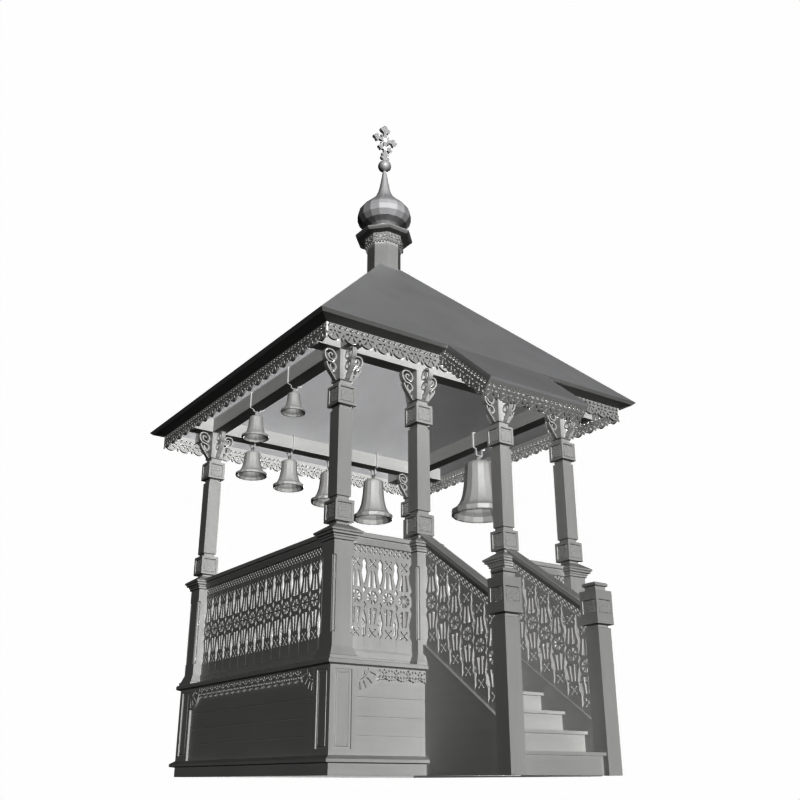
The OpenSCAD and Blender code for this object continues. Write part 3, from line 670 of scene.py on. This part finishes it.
# %% Frames and carving
def frame_round(x0, x1, z0, z1, section):
    """A picture frame: section points (inset, proud) carried round the rectangle."""
    section = np.array(section, float)
    inset = section[:, 0]
    corners = np.stack([np.stack([x0 + inset, -section[:, 1], z0 + inset], -1),
                        np.stack([x1 - inset, -section[:, 1], z0 + inset], -1),
                        np.stack([x1 - inset, -section[:, 1], z1 - inset], -1),
                        np.stack([x0 + inset, -section[:, 1], z1 - inset], -1)])
    n = len(section)
    index = np.arange(4 * n).reshape(4, n)
    b = np.roll(index, -1, 0)
    quads = np.stack([index, np.roll(index, -1, 1), np.roll(b, -1, 1), b], -1).reshape(-1, 4)
    return corners.reshape(-1, 3), [quads]


def carving(width, height, n=24):
    """A leafy rosette: waves over radius and angle, cut through by slanting gouge marks."""
    u, v = np.meshgrid(np.linspace(-1, 1, n), np.linspace(-1, 1, n))
    r, t = np.hypot(u, v), np.arctan2(v, u)
    leaf = 0.5 + 0.5 * np.cos(5 * t + 4 * r) * np.cos(9 * r)
    gouge = 0.5 + 0.5 * np.sin(17 * u + 6 * np.sin(9 * v)) * np.sin(15 * v + 4 * np.sin(11 * u))
    proud = 0.003 + 0.0065 * (0.45 * leaf + 0.55 * gouge)
    front = np.stack([u * width / 2, -proud, v * height / 2], -1).reshape(-1, 3)
    index = np.arange(n * n).reshape(n, n)
    quads = np.stack([index[:-1, :-1], index[:-1, 1:], index[1:, 1:], index[1:, :-1]], -1).reshape(-1, 4)
    border = np.concatenate([index[0], index[1:, -1], index[-1, -2::-1], index[-2:0:-1, 0]])
    back = front[border] * [1, 0, 1] + [0, 0.002, 0]
    new = np.arange(len(border)) + n * n
    skirt = np.column_stack([border, np.roll(border, -1), np.roll(new, -1), new])
    return np.vstack([front, back]), [quads, skirt, new[::-1][None]]


RECESS, BORDER = 0.011, 0.025


def carved_block(half, low, high):
    """Four frames, each with a carving sunk in it, round a square block of the given half width."""
    width = 2 * half - 0.001
    frame_part = frame_round(-width / 2, width / 2, low, high,
                             [(0, -RECESS), (0, 0), (BORDER, 0), (BORDER + 0.004, -RECESS)])
    inner = 2 * BORDER + 0.014
    field = carving(width - inner, high - low - inner)
    field = (field[0] + [0, RECESS, (low + high) / 2], field[1])
    face = join([frame_part, field])
    return join([place((face[0] - [0, half, 0], face[1]), turn=90 * k) for k in range(4)])


# %% Posts with their carved blocks
BLOCK_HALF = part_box("post_front_right")[1].x - POST_OUT
PED_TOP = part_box("pedestals")[1].z
NECK, SHAFT = 0.060, 0.0725
LOW_BLOCK, HIGH_BLOCK, BLOCK_H = PED_TOP + 0.023, BEAM_Z - 0.540, 0.190
core = BLOCK_HALF - RECESS
post_outline = [(0, PED_TOP), (NECK, PED_TOP), (NECK, LOW_BLOCK - 0.006), (core, LOW_BLOCK),
                (core, LOW_BLOCK + BLOCK_H),
                (NECK, LOW_BLOCK + BLOCK_H + 0.006), (NECK, LOW_BLOCK + BLOCK_H + 0.034),
                (SHAFT, LOW_BLOCK + BLOCK_H + 0.040), (SHAFT, HIGH_BLOCK - 0.040), (NECK, HIGH_BLOCK - 0.034),
                (NECK, HIGH_BLOCK - 0.006), (core, HIGH_BLOCK), (core, HIGH_BLOCK + BLOCK_H),
                (NECK, HIGH_BLOCK + BLOCK_H + 0.006), (NECK, HIGH_BLOCK + BLOCK_H + 0.044),
                (SHAFT, HIGH_BLOCK + BLOCK_H + 0.050), (SHAFT, BEAM_Z), (0, BEAM_Z)]
one_post = join([turned(post_outline, 4, flats=True)] +
                [carved_block(BLOCK_HALF, z, z + BLOCK_H) for z in (LOW_BLOCK, HIGH_BLOCK)])
POST_NAMES = ["post_front_left", "post_front_right", "post_door_left", "post_door_right", "post_back_left",
              "post_back_right"]
for name, (x, y) in zip(POST_NAMES, post_spots):
    piece("carved_" + name, place(one_post, (x, PLAN[1] + y, 0)), upright, replaces=[name])
print("post faces", pieces["carved_post_front_left"])

# %% Newels
newel_low, newel_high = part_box("newels")
NEWEL_LOW, NEWEL_HALF, NEWEL_H = DECK_Z + 0.328, 0.095, 0.278
newel_y = newel_low.y + NEWEL_HALF
PANEL_LOW, PANEL_HIGH = NEWEL_LOW + 0.062, NEWEL_LOW + 0.226
newel_core = NEWEL_HALF - RECESS
newel_outline = [(0, 0), (0.075, 0), (0.075, NEWEL_LOW - 0.032), (0.060, NEWEL_LOW - 0.026),
                 (0.060, NEWEL_LOW - 0.008),
                 (NEWEL_HALF, NEWEL_LOW), (NEWEL_HALF, PANEL_LOW), (newel_core, PANEL_LOW + 0.0005),
                 (newel_core, PANEL_HIGH - 0.0005), (NEWEL_HALF, PANEL_HIGH), (NEWEL_HALF, NEWEL_LOW + NEWEL_H),
                 (0.060, NEWEL_LOW + NEWEL_H + 0.008), (0.060, newel_high.z - 0.034), (0.075, newel_high.z - 0.028),
                 (0.075, newel_high.z - 0.006), (0.060, newel_high.z), (0, newel_high.z)]
one_newel = join([turned(newel_outline, 4, flats=True), carved_block(NEWEL_HALF, PANEL_LOW, PANEL_HIGH)])
piece("carved_newels", join([place(one_newel, (s * DOOR_POST, newel_y, 0)) for s in (-1, 1)]), upright,
      replaces=["newels"])
print("newel faces", pieces["carved_newels"])

# %% [markdown]
# ## Base
# The walls are clad with wide level boards that meet in a dark groove. A board wall is one
# section, with a notch at each joint, carried along the wall. The corners have boards with a
# sunk panel, and a pierced frieze with quarter-round fans hangs under the deck.

# %% Siding
WALL_TOP = deck_low.z
SIDING_JOINTS = (0.292, 0.438, 0.587, 0.733)


def siding(x0, x1):
    """A board wall from x0 to x1: one section with a square groove at each joint, carried along."""
    groove, depth = 0.0045, 0.012
    face = [(0, 0)]
    for z in SIDING_JOINTS:
        face += [(0, z - groove), (depth, z - groove * 0.9), (depth, z + groove * 0.9), (0, z + groove)]
    return run(face + [(0, WALL_TOP), (0.045, WALL_TOP), (0.045, 0)], x0, x1)


for side, quarter, half, finish_used in (("front", 0, WALL_OUT, level_x), ("right", 1, WALL_OUT - 0.046, level_y),
                                         ("back", 2, WALL_OUT, level_x), ("left", 3, WALL_OUT - 0.046, level_y)):
    piece("siding_" + side, on_side(siding(-half, half), quarter, WALL_OUT), finish_used,
          replaces=[side + "_wall"])

# %% Corner boards with a sunk panel
BOARD_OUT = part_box("frieze")[1].x
PILASTER_IN = WALL_OUT + 0.023 - 0.256
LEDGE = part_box("corner_pilasters")[0].z
PANEL_FOOT, PANEL_HEAD = 0.193, 0.796


def sunk_board(x0, x1, z0, z1, px0, px1, pz0, pz1, depth):
    """A board with a rectangle cut out, and a raised field with a sloping border set in the cut."""
    outline = np.array([(x0, z0), (x1, z0), (x1, z1), (x0, z1)])
    hole = np.array([(px0, pz0), (px1, pz0), (px1, pz1), (px0, pz1)])
    back = board([hole], 0.004)
    raised = frame_round(px0 + 0.016, px1 - 0.016, pz0 + 0.016, pz1 - 0.016,
                         [(0, -0.014), (0.003, -0.006), (0.010, -0.005), (0.012, -0.014)])
    field = board([hole + [(0.027, 0.027), (-0.027, 0.027), (-0.027, -0.027), (0.027, -0.027)]], 0.008)
    return join([board([outline, hole], depth), raised, (back[0] + [0, depth - 0.0095, 0], back[1]),
                 (field[0] + [0, 0.008, 0], field[1])])


corner_boards = []
for quarter in range(4):
    for s in (-1, 1):
        x0, x1 = sorted((s * PILASTER_IN, s * (BOARD_OUT - (0.0232 if quarter % 2 else 0))))
        p0, p1 = sorted((s * 1.282, s * 1.444))
        sunk = sunk_board(x0, x1, LEDGE, BELT_Z, p0, p1, PANEL_FOOT, PANEL_HEAD, 0.0228)
        corner_boards.append(on_side(sunk, quarter, BOARD_OUT))
piece("corner_boards", join(corner_boards), upright, replaces=["corner_pilasters"])
print("corner board faces", pieces["corner_boards"])


# %% Frieze and fans
FRIEZE_P, FAN_R, FRIEZE_T = 0.118, 0.205, 0.0225


def frieze_tile(p):
    """Hung from height 0: a drilled eye, a four-petal flower, and a drop at each joint."""
    half, low = p / 2, -0.107
    outline = np.vstack([[(-half, 0), (-half, low), (-half + 0.010, low + 0.014)],
                         arc(0, low - 0.012, 0.034, 150, 30, 7) * [1.25, 1] + [0, 0.004],
                         [(half - 0.010, low + 0.014), (half, low), (half, 0)]])
    cuts = [outline, ring(0, -0.019, 0.0090, 8)]
    for angle in (45, 135, 225, 315):
        cuts.append(spoke_slot(0, -0.056, angle, 0.008, 0.034, 0.003, 0.0070))
    for s in (-1, 1):
        cuts.append(ring(s * (half - 0.015), -0.026, 0.0105, 8, 0.62, 60 * s))
        cuts.append(ring(s * (half - 0.015), -0.072, 0.0115, 8, 0.58, -60 * s))
    return cuts


def fan(s):
    """A quarter round with its centre at the upper corner: a ring cut, an eye and four rays."""
    outline = np.vstack([[(0, 0)], arc(0, 0, FAN_R, 270, 360, 15)])
    cuts = [outline, crescent(0.050, -0.050, 0.020, 0.012, 230, 400, 9)]
    cuts.append(np.vstack([arc(0, 0, 0.111, 276, 354, 11), arc(0, 0, 0.106, 354, 276, 11)]))
    for angle in (279, 297, 317, 340):
        cuts.append(spoke_slot(0, 0, angle, 0.126, 0.192, 0.0058, 0.0068))
    return [cut * [s, 1] for cut in cuts]


def frieze_run(x0, x1, fan_low, fan_high):
    """Tiles from x0 to x1, with a fan at either end where one stands beside a corner board."""
    a, b = x0 + (FAN_R if fan_low else 0), x1 - (FAN_R if fan_high else 0)
    count = max(1, round((b - a) / FRIEZE_P))
    p = (b - a) / count
    tile = board(frieze_tile(p), FRIEZE_T, (-p / 2, p / 2))
    parts = [repeat(tile, [(a + p * (k + 0.5), 0, 0) for k in range(count)])]
    if fan_low:
        parts.append(repeat(board(fan(1), FRIEZE_T), [(x0, -0.001, 0)]))
    if fan_high:
        parts.append(repeat(board(fan(-1), FRIEZE_T), [(x1, -0.001, 0)]))
    points, faces = join(parts)
    return points + [0, 0, BELT_Z], faces


STAIR_GAP = 0.546
friezes = [on_side(frieze_run(-PILASTER_IN, PILASTER_IN, True, True), quarter, BOARD_OUT) for quarter in (1, 2, 3)]
friezes.append(on_side(frieze_run(-PILASTER_IN, -STAIR_GAP, True, False), 0, BOARD_OUT))
friezes.append(on_side(frieze_run(STAIR_GAP, PILASTER_IN, False, True), 0, BOARD_OUT))
piece("pierced_frieze", join(friezes), upright, replaces=["frieze"])
print("frieze faces", pieces["pierced_frieze"])

# %% [markdown]
# The pedestals are square like the posts, but each corner of the shaft is notched and has a round bead let
# into the notch, stopped short of the mouldings. So the shaft is a plan shape carried upwards,
# and the base and cap are outlines turned four-sided.

# %% Pedestals
def prism(loop, z0, z1):
    """A plan outline carried from z0 up to z1."""
    points, faces = board([np.asarray(loop, float)], 1.0)
    return np.column_stack([points[:, 0], points[:, 2], z0 + points[:, 1] * (z1 - z0)]), faces


PED_HALF, NOTCH, BEAD_R, BEAD_LOW, BEAD_HIGH = 0.100, 0.025, 0.0125, 1.086, 1.720
a, b = PED_HALF, PED_HALF - NOTCH
shaft = prism([(-b, -a), (b, -a), (b, -b), (a, -b), (a, b), (b, b), (b, a), (-b, a), (-b, b), (-a, b), (-a, -b),
               (-b, -b)], BEAD_LOW, BEAD_HIGH)
foot_outline = [(0, SILL_Z), (0.138, SILL_Z), (0.138, SILL_Z + 0.029), (0.128, SILL_Z + 0.033),
                (0.104, SILL_Z + 0.092),
                (a, SILL_Z + 0.106), (a, BEAD_LOW), (0, BEAD_LOW)]
top = PED_TOP
cap_outline = [(0, BEAD_HIGH), (a, BEAD_HIGH), (a, top - 0.146), (0.114, top - 0.142), (0.114, top - 0.122),
               (0.122, top - 0.118), (0.124, top - 0.103), (0.142, top - 0.099), (0.144, top - 0.080),
               (0.156, top - 0.076), (0.158, top - 0.060), (0.150, top - 0.056), (0.066, top), (0, top)]
rounding = arc(0, 0, BEAD_R, 0, 90, 5)
rod_outline = np.vstack([[(0, BEAD_LOW)], (rounding * [1, -1])[::-1][1:] + [0, BEAD_LOW + BEAD_R],
                         rounding + [0, BEAD_HIGH - BEAD_R]])
rod_outline[-1, 0] = 0
corner_in = PED_HALF - BEAD_R
rods = repeat(turned(rod_outline, 14), [(x * corner_in, y * corner_in, 0) for x in (-1, 1) for y in (-1, 1)])
one_pedestal = join([shaft, turned(foot_outline, 4, flats=True), turned(cap_outline, 4, flats=True), rods])
piece("beaded_pedestals", repeat(one_pedestal, [(x, PLAN[1] + y, 0) for x, y in post_spots]), upright,
      replaces=["pedestals"])
print("pedestal faces", pieces["beaded_pedestals"])

# %% [markdown]
# The rails are one moulding: a flat nosing on top, a step back under it, and a second band that
# leans in towards the boards. The stair rails are the same moulding sheared to the steps' slope.

# %% Rails
RAIL_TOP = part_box("top_rails")[1].z
half_section = [(0.028, RAIL_LOW - 0.003), (0.046, RAIL_TOP - 0.053), (0.046, RAIL_TOP - 0.043),
                (0.061, RAIL_TOP - 0.040),
                (0.061, RAIL_TOP - 0.006), (0.055, RAIL_TOP)]
rail_section = [(-d, z) for d, z in half_section] + [(d, z) for d, z in half_section[::-1]]
runs = [on_side(run(rail_section, -BAY_HALF, BAY_HALF), quarter, POST_OUT) for quarter in (1, 2, 3)]
runs += [on_side(run(rail_section, x0, x1), 0, POST_OUT) for x0, x1 in ((-BAY_HALF, -DOOR_OUT), (DOOR_OUT, BAY_HALF))]
piece("moulded_rails", join(runs), level_x, replaces=["top_rails"])
sloping = run(rail_section, STAIR_START, STAIR_END)
sloping[0][:, 2] += 0.010 - SLOPE * (sloping[0][:, 0] - FIRST_BOARD)
piece("moulded_stair_rails", join([place(sloping, (s * DOOR_POST, PLAN[1], 0), -90) for s in (-1, 1)]), level_y,
      replaces=["stair_rails"])
print("rail faces", pieces["moulded_rails"], pieces["moulded_stair_rails"])

# %% [markdown]
# ## Dome, ball and cross
# The onion dome is covered in eighteen sheet-metal gores. Its outline is three blended
# curves: the belly, the shoulder and the hollow neck. The facets are kept flat, as sheet is.

# %% Dome
dome_low, dome_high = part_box("onion_dome")
DOME_R, DOME_H = 0.325, dome_high.z - dome_low.z
belly = [(0.5, 0.0), (0.5, 0.115), (0.60, 0.14), (0.84, 0.172), (0.985, 0.235), (0.99, 0.31)]
curve = np.vstack([belly, bezier((0.94, 0.37), (0.80, 0.455), (0.36, 0.54), (0.26, 0.65), 7),
                   bezier((0.26, 0.65), (0.20, 0.70), (0.12, 0.85), (0.066, 1), 7)[1:]])
gores = turned(np.vstack([[(0, 0)], curve, [(0, 1)]]) * [DOME_R, DOME_H] + [0, dome_low.z], 18)
piece("dome_gores", place(gores, (0, PLAN[1], 0), 5), gilding, replaces=["onion_dome"])

# %% Ball
ball_low, ball_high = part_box("ball")
ball_mid, BALL_R = (ball_low.z + ball_high.z) / 2, ball_high.x
sweep = arc(0, 0, BALL_R, -90, 90, 25)
sweep[[0, -1], 0] = 0
piece("turned_ball", place(turned(sweep + [0, ball_mid], 40), (0, PLAN[1], 0)), gilding,
      replaces=["ball"], smooth=60)

# %% Cross with budded ends
cross_low, cross_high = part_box("cross")
FOOT, TOP = cross_low.z - 0.004, cross_high.z


def plate_at(loop, depth):
    points, faces = board([np.asarray(loop, float)], depth)
    return points - [0, depth / 2, 0], faces


def bud(x, z, angle, size):
    """A trefoil end: a square boss with a round on each of its three free sides."""
    out = np.array([math.cos(math.radians(angle)), math.sin(math.radians(angle))])
    side = np.array([-out[1], out[0]])
    middle = np.array([x, z])
    rounds = [middle + out * size * 0.95, middle + side * size * 0.95, middle - side * size * 0.95]
    boss = [middle + out * a * size * 0.8 + side * b * size * 0.8 for a, b in ((-1, -1), (1, -1), (1, 1), (-1, 1))]
    parts = [plate_at(boss, 0.030)] + [plate_at(ring(r[0], r[1], size * 0.62, 14), 0.034) for r in rounds]
    return parts + [plate_at(ring(x, z, size * 0.42, 12), 0.038)]


def bar_between(a, b, half):
    return ribbon(np.array([a, b], float), half, 0.026)


arm_z, low_arm_z = TOP - 0.220, TOP - 0.347
crest = [bar_between((0, FOOT), (0, TOP - 0.05), 0.023), bar_between((-0.145, arm_z), (0.145, arm_z), 0.024),
         bar_between((-0.075, low_arm_z), (0.075, low_arm_z), 0.022)]
crest += bud(0, TOP - 0.078, 90, 0.046) + bud(-0.122, arm_z, 180, 0.034) + bud(0.122, arm_z, 0, 0.034)
crest += bud(-0.066, low_arm_z, 180, 0.024) + bud(0.066, low_arm_z, 0, 0.024)
for s in (-1, 1):
    crest += [plate_at(ring(s * 0.036, FOOT + 0.045, 0.026, 12), 0.030),
              plate_at(ring(s * 0.030, FOOT + 0.100, 0.020, 12), 0.028)]
    for up in (-1, 1):
        ray = bezier((s * 0.014, arm_z + up * 0.014), (s * 0.04, arm_z + up * 0.03), (s * 0.05, arm_z + up * 0.05),
                     (s * 0.058, arm_z + up * 0.062), 6)
        crest.append(ribbon(ray, np.linspace(0.014, 0.007, 6), 0.022))
piece("budded_cross", place(join(crest), (0, PLAN[1], 0)), gilding, replaces=["cross"])

# %% [markdown]
# Under the dome an octagonal cornice oversails a collar of eight short pierced boards, each a
# flat of the octagon, with a toothed lower edge.

# %% Collar
collar_low, collar_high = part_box("collar_lace")
COLLAR_OUT, COLLAR_H = collar_high.x, collar_high.z - collar_low.z
face_half = COLLAR_OUT * math.tan(math.pi / 8)
TEETH, TOOTH_H = 5, 0.020
w = 2 * face_half / TEETH
teeth = [(-face_half + w * (k + share), h) for k in range(TEETH)
         for share, h in ((0.0, 0.0), (0.62, 0.0), (0.62, TOOTH_H), (1.0, TOOTH_H))][:-1]
outline = np.vstack([teeth, [(face_half, TOOTH_H), (face_half, COLLAR_H), (-face_half, COLLAR_H)]])
arrow = np.array([(0, 0.108), (-0.026, 0.082), (-0.010, 0.082), (-0.010, 0.054), (0.010, 0.054), (0.010, 0.082),
                  (0.026, 0.082)])
square = np.array([(-0.011, -0.011), (0.011, -0.011), (0.011, 0.011), (-0.011, 0.011)])
cuts = [outline, arrow] + [ring(s * 0.050, 0.095, 0.0125, 8) for s in (-1, 1)]
cuts += [square + [s * 0.040, 0.050] for s in (-1, 1)] + [ring(s * 0.070, 0.066, 0.0100, 8) for s in (-1, 1)]
flat_board = board(cuts, 0.014)
hung = (flat_board[0] - [0, COLLAR_OUT, -collar_low.z], flat_board[1])
collar = [place(hung, (0, PLAN[1], 0), 45 * k) for k in range(8)]
piece("pierced_collar", join(collar), upright, replaces=["collar_lace"])
print("collar faces", pieces["pierced_collar"])

# %% [markdown]
# ## Bells
# A bell is one outline turned about its axis: a rounded shoulder, a waist that hollows and a
# lip that flares. The wall is the same outline again, a little inside. Raised bands mark the
# shoulder, the waist and the lip, as a founder strikes them in the mould.

# %% Bells
FLATS = 16


def bell_part(d, h):
    """Outer wall from crown to lip, then the inner wall back up, all as shares of d and h."""
    shoulder = bezier((0.13, 1.02), (0.215, 1.015), (0.248, 0.975), (0.256, 0.90), 6)
    waist = bezier((0.258, 0.86), (0.275, 0.52), (0.31, 0.24), (0.44, 0.135), 12)
    lip = [(0.470, 0.115), (0.488, 0.108), (0.5, 0.098), (0.5, 0.022), (0.490, 0.0), (0.462, 0.0)]
    hollow = bezier((0.430, 0.10), (0.275, 0.26), (0.245, 0.55), (0.225, 0.84), 9)
    outline = np.vstack([[(0, 1.03)], shoulder, waist, lip, hollow, [(0.14, 0.95), (0, 0.97)]])
    return turned(outline * [d, h], FLATS)


BELLS = sorted(n for n in nodes if "bell" in n and n != "bell_straps")
joints = {joint["child"]: joint for joint in frame["joints"]}
for name in BELLS:
    low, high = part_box(name)
    pivot = np.array(joints[name]["pos_m"])
    d = max(high.x - low.x, high.y - low.y)
    h = pivot[2] - 0.025 - 0.09 * d - low.z
    wall = bell_part(d, h)
    body = (wall[0] + [0, 0, low.z], wall[1])
    iron = 0.006 + 0.027 * d
    eye = 0.45 * iron + 0.0035
    crown = low.z + 1.01 * h
    loop = np.vstack([[(-eye, crown)], arc(0, pivot[2], eye, 180, 0, 11), [(eye, crown)]])
    hanger = place(ribbon(loop, 0.0030, 0.026), turn=0 if joints[name]["axis"][1] else 90)
    piece(name + "_cast", place(join([body, hanger]), (pivot[0], pivot[1], 0)), casting, body=name,
          replaces=[name], smooth=None)
print("bells", BELLS)

# %% [markdown]
# Each bell hangs from an iron strap that goes over the beam, down both faces, in under it
# with a short bend, and round at the foot. The strap is a square rod along that path.

# %% Straps
BEAM_HALF, STRAP_NECK = 0.072, 0.030


def strap_path(drop, iron):
    """From the top of the beam down one face and in to the foot, drop below the beam's underside."""
    out, neck = BEAM_HALF + iron / 2 + 0.0005, STRAP_NECK + iron / 2
    half = np.vstack([[(0.0, BEAM_TOP + iron / 2), (out - 0.006, BEAM_TOP + iron / 2)],
                      arc(out - 0.006, BEAM_TOP + iron / 2 - 0.006, 0.006, 80, 0, 4), [(out, BEAM_Z + 0.006)],
                      bezier((out, BEAM_Z - 0.002), (out, BEAM_Z - 0.024), (neck, BEAM_Z - 0.006),
                             (neck, BEAM_Z - 0.034), 9), [(neck, BEAM_Z - drop + 0.016)]])
    corner = arc(neck - 0.012, BEAM_Z - drop + 0.012, 0.012, -15, -90, 5)
    right = np.vstack([half, corner, [(0, BEAM_Z - drop)]])
    return np.vstack([right, (right * [-1, 1])[::-1][1:]])


straps = []
for name in BELLS:
    low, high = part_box(name)
    pivot = np.array(joints[name]["pos_m"])
    iron = 0.006 + 0.027 * max(high.x - low.x, high.y - low.y)
    rod = ribbon(strap_path(BEAM_Z - pivot[2], iron), iron * 0.45, 0.9 * iron)
    straps.append(place(rod, (pivot[0], pivot[1], 0), 90 if joints[name]["axis"][1] else 0))
piece("hanging_straps", join(straps), forging, replaces=["bell_straps"])
print("strap faces", pieces["hanging_straps"])

# %% [markdown]
# ## Finishes on the frame
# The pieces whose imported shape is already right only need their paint. Grain follows the
# length of each piece, so the level pieces get the finish whose fibres run their way.

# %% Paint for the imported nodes
ALONG_X = ["front_beam", "back_beam", "stair_treads", "stair_risers", "plinth", "deck_belt", "soffit",
           "awning_frame", "deck"]
ALONG_Y = ["left_beam", "right_beam", "stair_walls"]
SHEET = ["roof_front", "roof_back", "roof_left", "roof_right", "awning_roof"]
for name, obj in nodes.items():
    material = level_x if name in ALONG_X else level_y if name in ALONG_Y else roofing if name in SHEET else upright
    obj.data.materials.clear()
    obj.data.materials.append(material)

# %% [markdown]
# ## Stage
# The floor is pale and plain, with a soft contact shade painted into its glow (dimmed by ambient
# occlusion) where the building stands on it. The camera stands just below it, so the floor is
# see-through from beneath. One light comes from the front and one from behind. Neither casts a
# shadow, so the light behind also reaches the underside of the roof.

# %% Floor, lights and world
floor_mesh = bpy.data.meshes.new("floor")
reach = 60.0
floor_mesh.from_pydata([(-reach, -reach, 0), (reach, -reach, 0), (reach, reach, 0), (-reach, reach, 0)],
                       [], [(0, 1, 2, 3)])
floor = bpy.data.objects.new("floor", floor_mesh)
bpy.context.scene.collection.objects.link(floor)
floor.location.z = -0.001
pale = bpy.data.materials.new("pale_floor")
pale.use_nodes = True
tree = pale.node_tree
tree.nodes.clear()
output = tree.nodes.new("ShaderNodeOutputMaterial")
path, sight = tree.nodes.new("ShaderNodeLightPath"), tree.nodes.new("ShaderNodeNewGeometry")
# Painted contact shade: ambient occlusion dims the floor's camera glow near the building.
shade = tree.nodes.new("ShaderNodeAmbientOcclusion")
shade.inputs["Distance"].default_value = 1.6
shade.samples = 8
glow, dull = tree.nodes.new("ShaderNodeEmission"), tree.nodes.new("ShaderNodeBsdfDiffuse")
dull.inputs["Color"].default_value = (0.08, 0.08, 0.08, 1)
clear = tree.nodes.new("ShaderNodeBsdfTransparent")
glow_with_painted_shade = math_node(tree, "MULTIPLY_ADD", shade.outputs["AO"], 0.42, 0.55)
tree.links.new(glow_with_painted_shade, glow.inputs["Strength"])
seen, above = tree.nodes.new("ShaderNodeMixShader"), tree.nodes.new("ShaderNodeMixShader")
tree.links.new(path.outputs["Is Camera Ray"], seen.inputs[0])
tree.links.new(dull.outputs[0], seen.inputs[1])
tree.links.new(glow.outputs[0], seen.inputs[2])
tree.links.new(sight.outputs["Backfacing"], above.inputs[0])
tree.links.new(seen.outputs[0], above.inputs[1])
tree.links.new(clear.outputs[0], above.inputs[2])
tree.links.new(above.outputs[0], output.inputs["Surface"])
floor_mesh.materials.append(pale)


def sun(name, towards, strength, angle):
    data = bpy.data.lights.new(name, "SUN")
    data.energy = strength
    data.angle = math.radians(angle)
    data.use_shadow = False
    obj = bpy.data.objects.new(name, data)
    obj.rotation_euler = Vector(towards).to_track_quat("Z", "Y").to_euler()
    bpy.context.scene.collection.objects.link(obj)


sun("key", (-0.34, -0.94, 0.08), 4.6, 12)
sun("far_side", (0.62, 0.78, 0.14), 6.2, 20)

world = bpy.data.worlds.new("studio")
bpy.context.scene.world = world
world.use_nodes = True
tree = world.node_tree
background = tree.nodes["Background"]
path = tree.nodes.new("ShaderNodeLightPath")
strength = math_node(tree, "MULTIPLY_ADD", path.outputs["Is Camera Ray"], 0.98, 0.015)
background.inputs["Color"].default_value = (1, 1, 1, 1)
tree.links.new(strength, background.inputs["Strength"])
bpy.context.scene.view_settings.view_transform = "Raw"

# %% Print the pieces made
print("pieces", pieces)
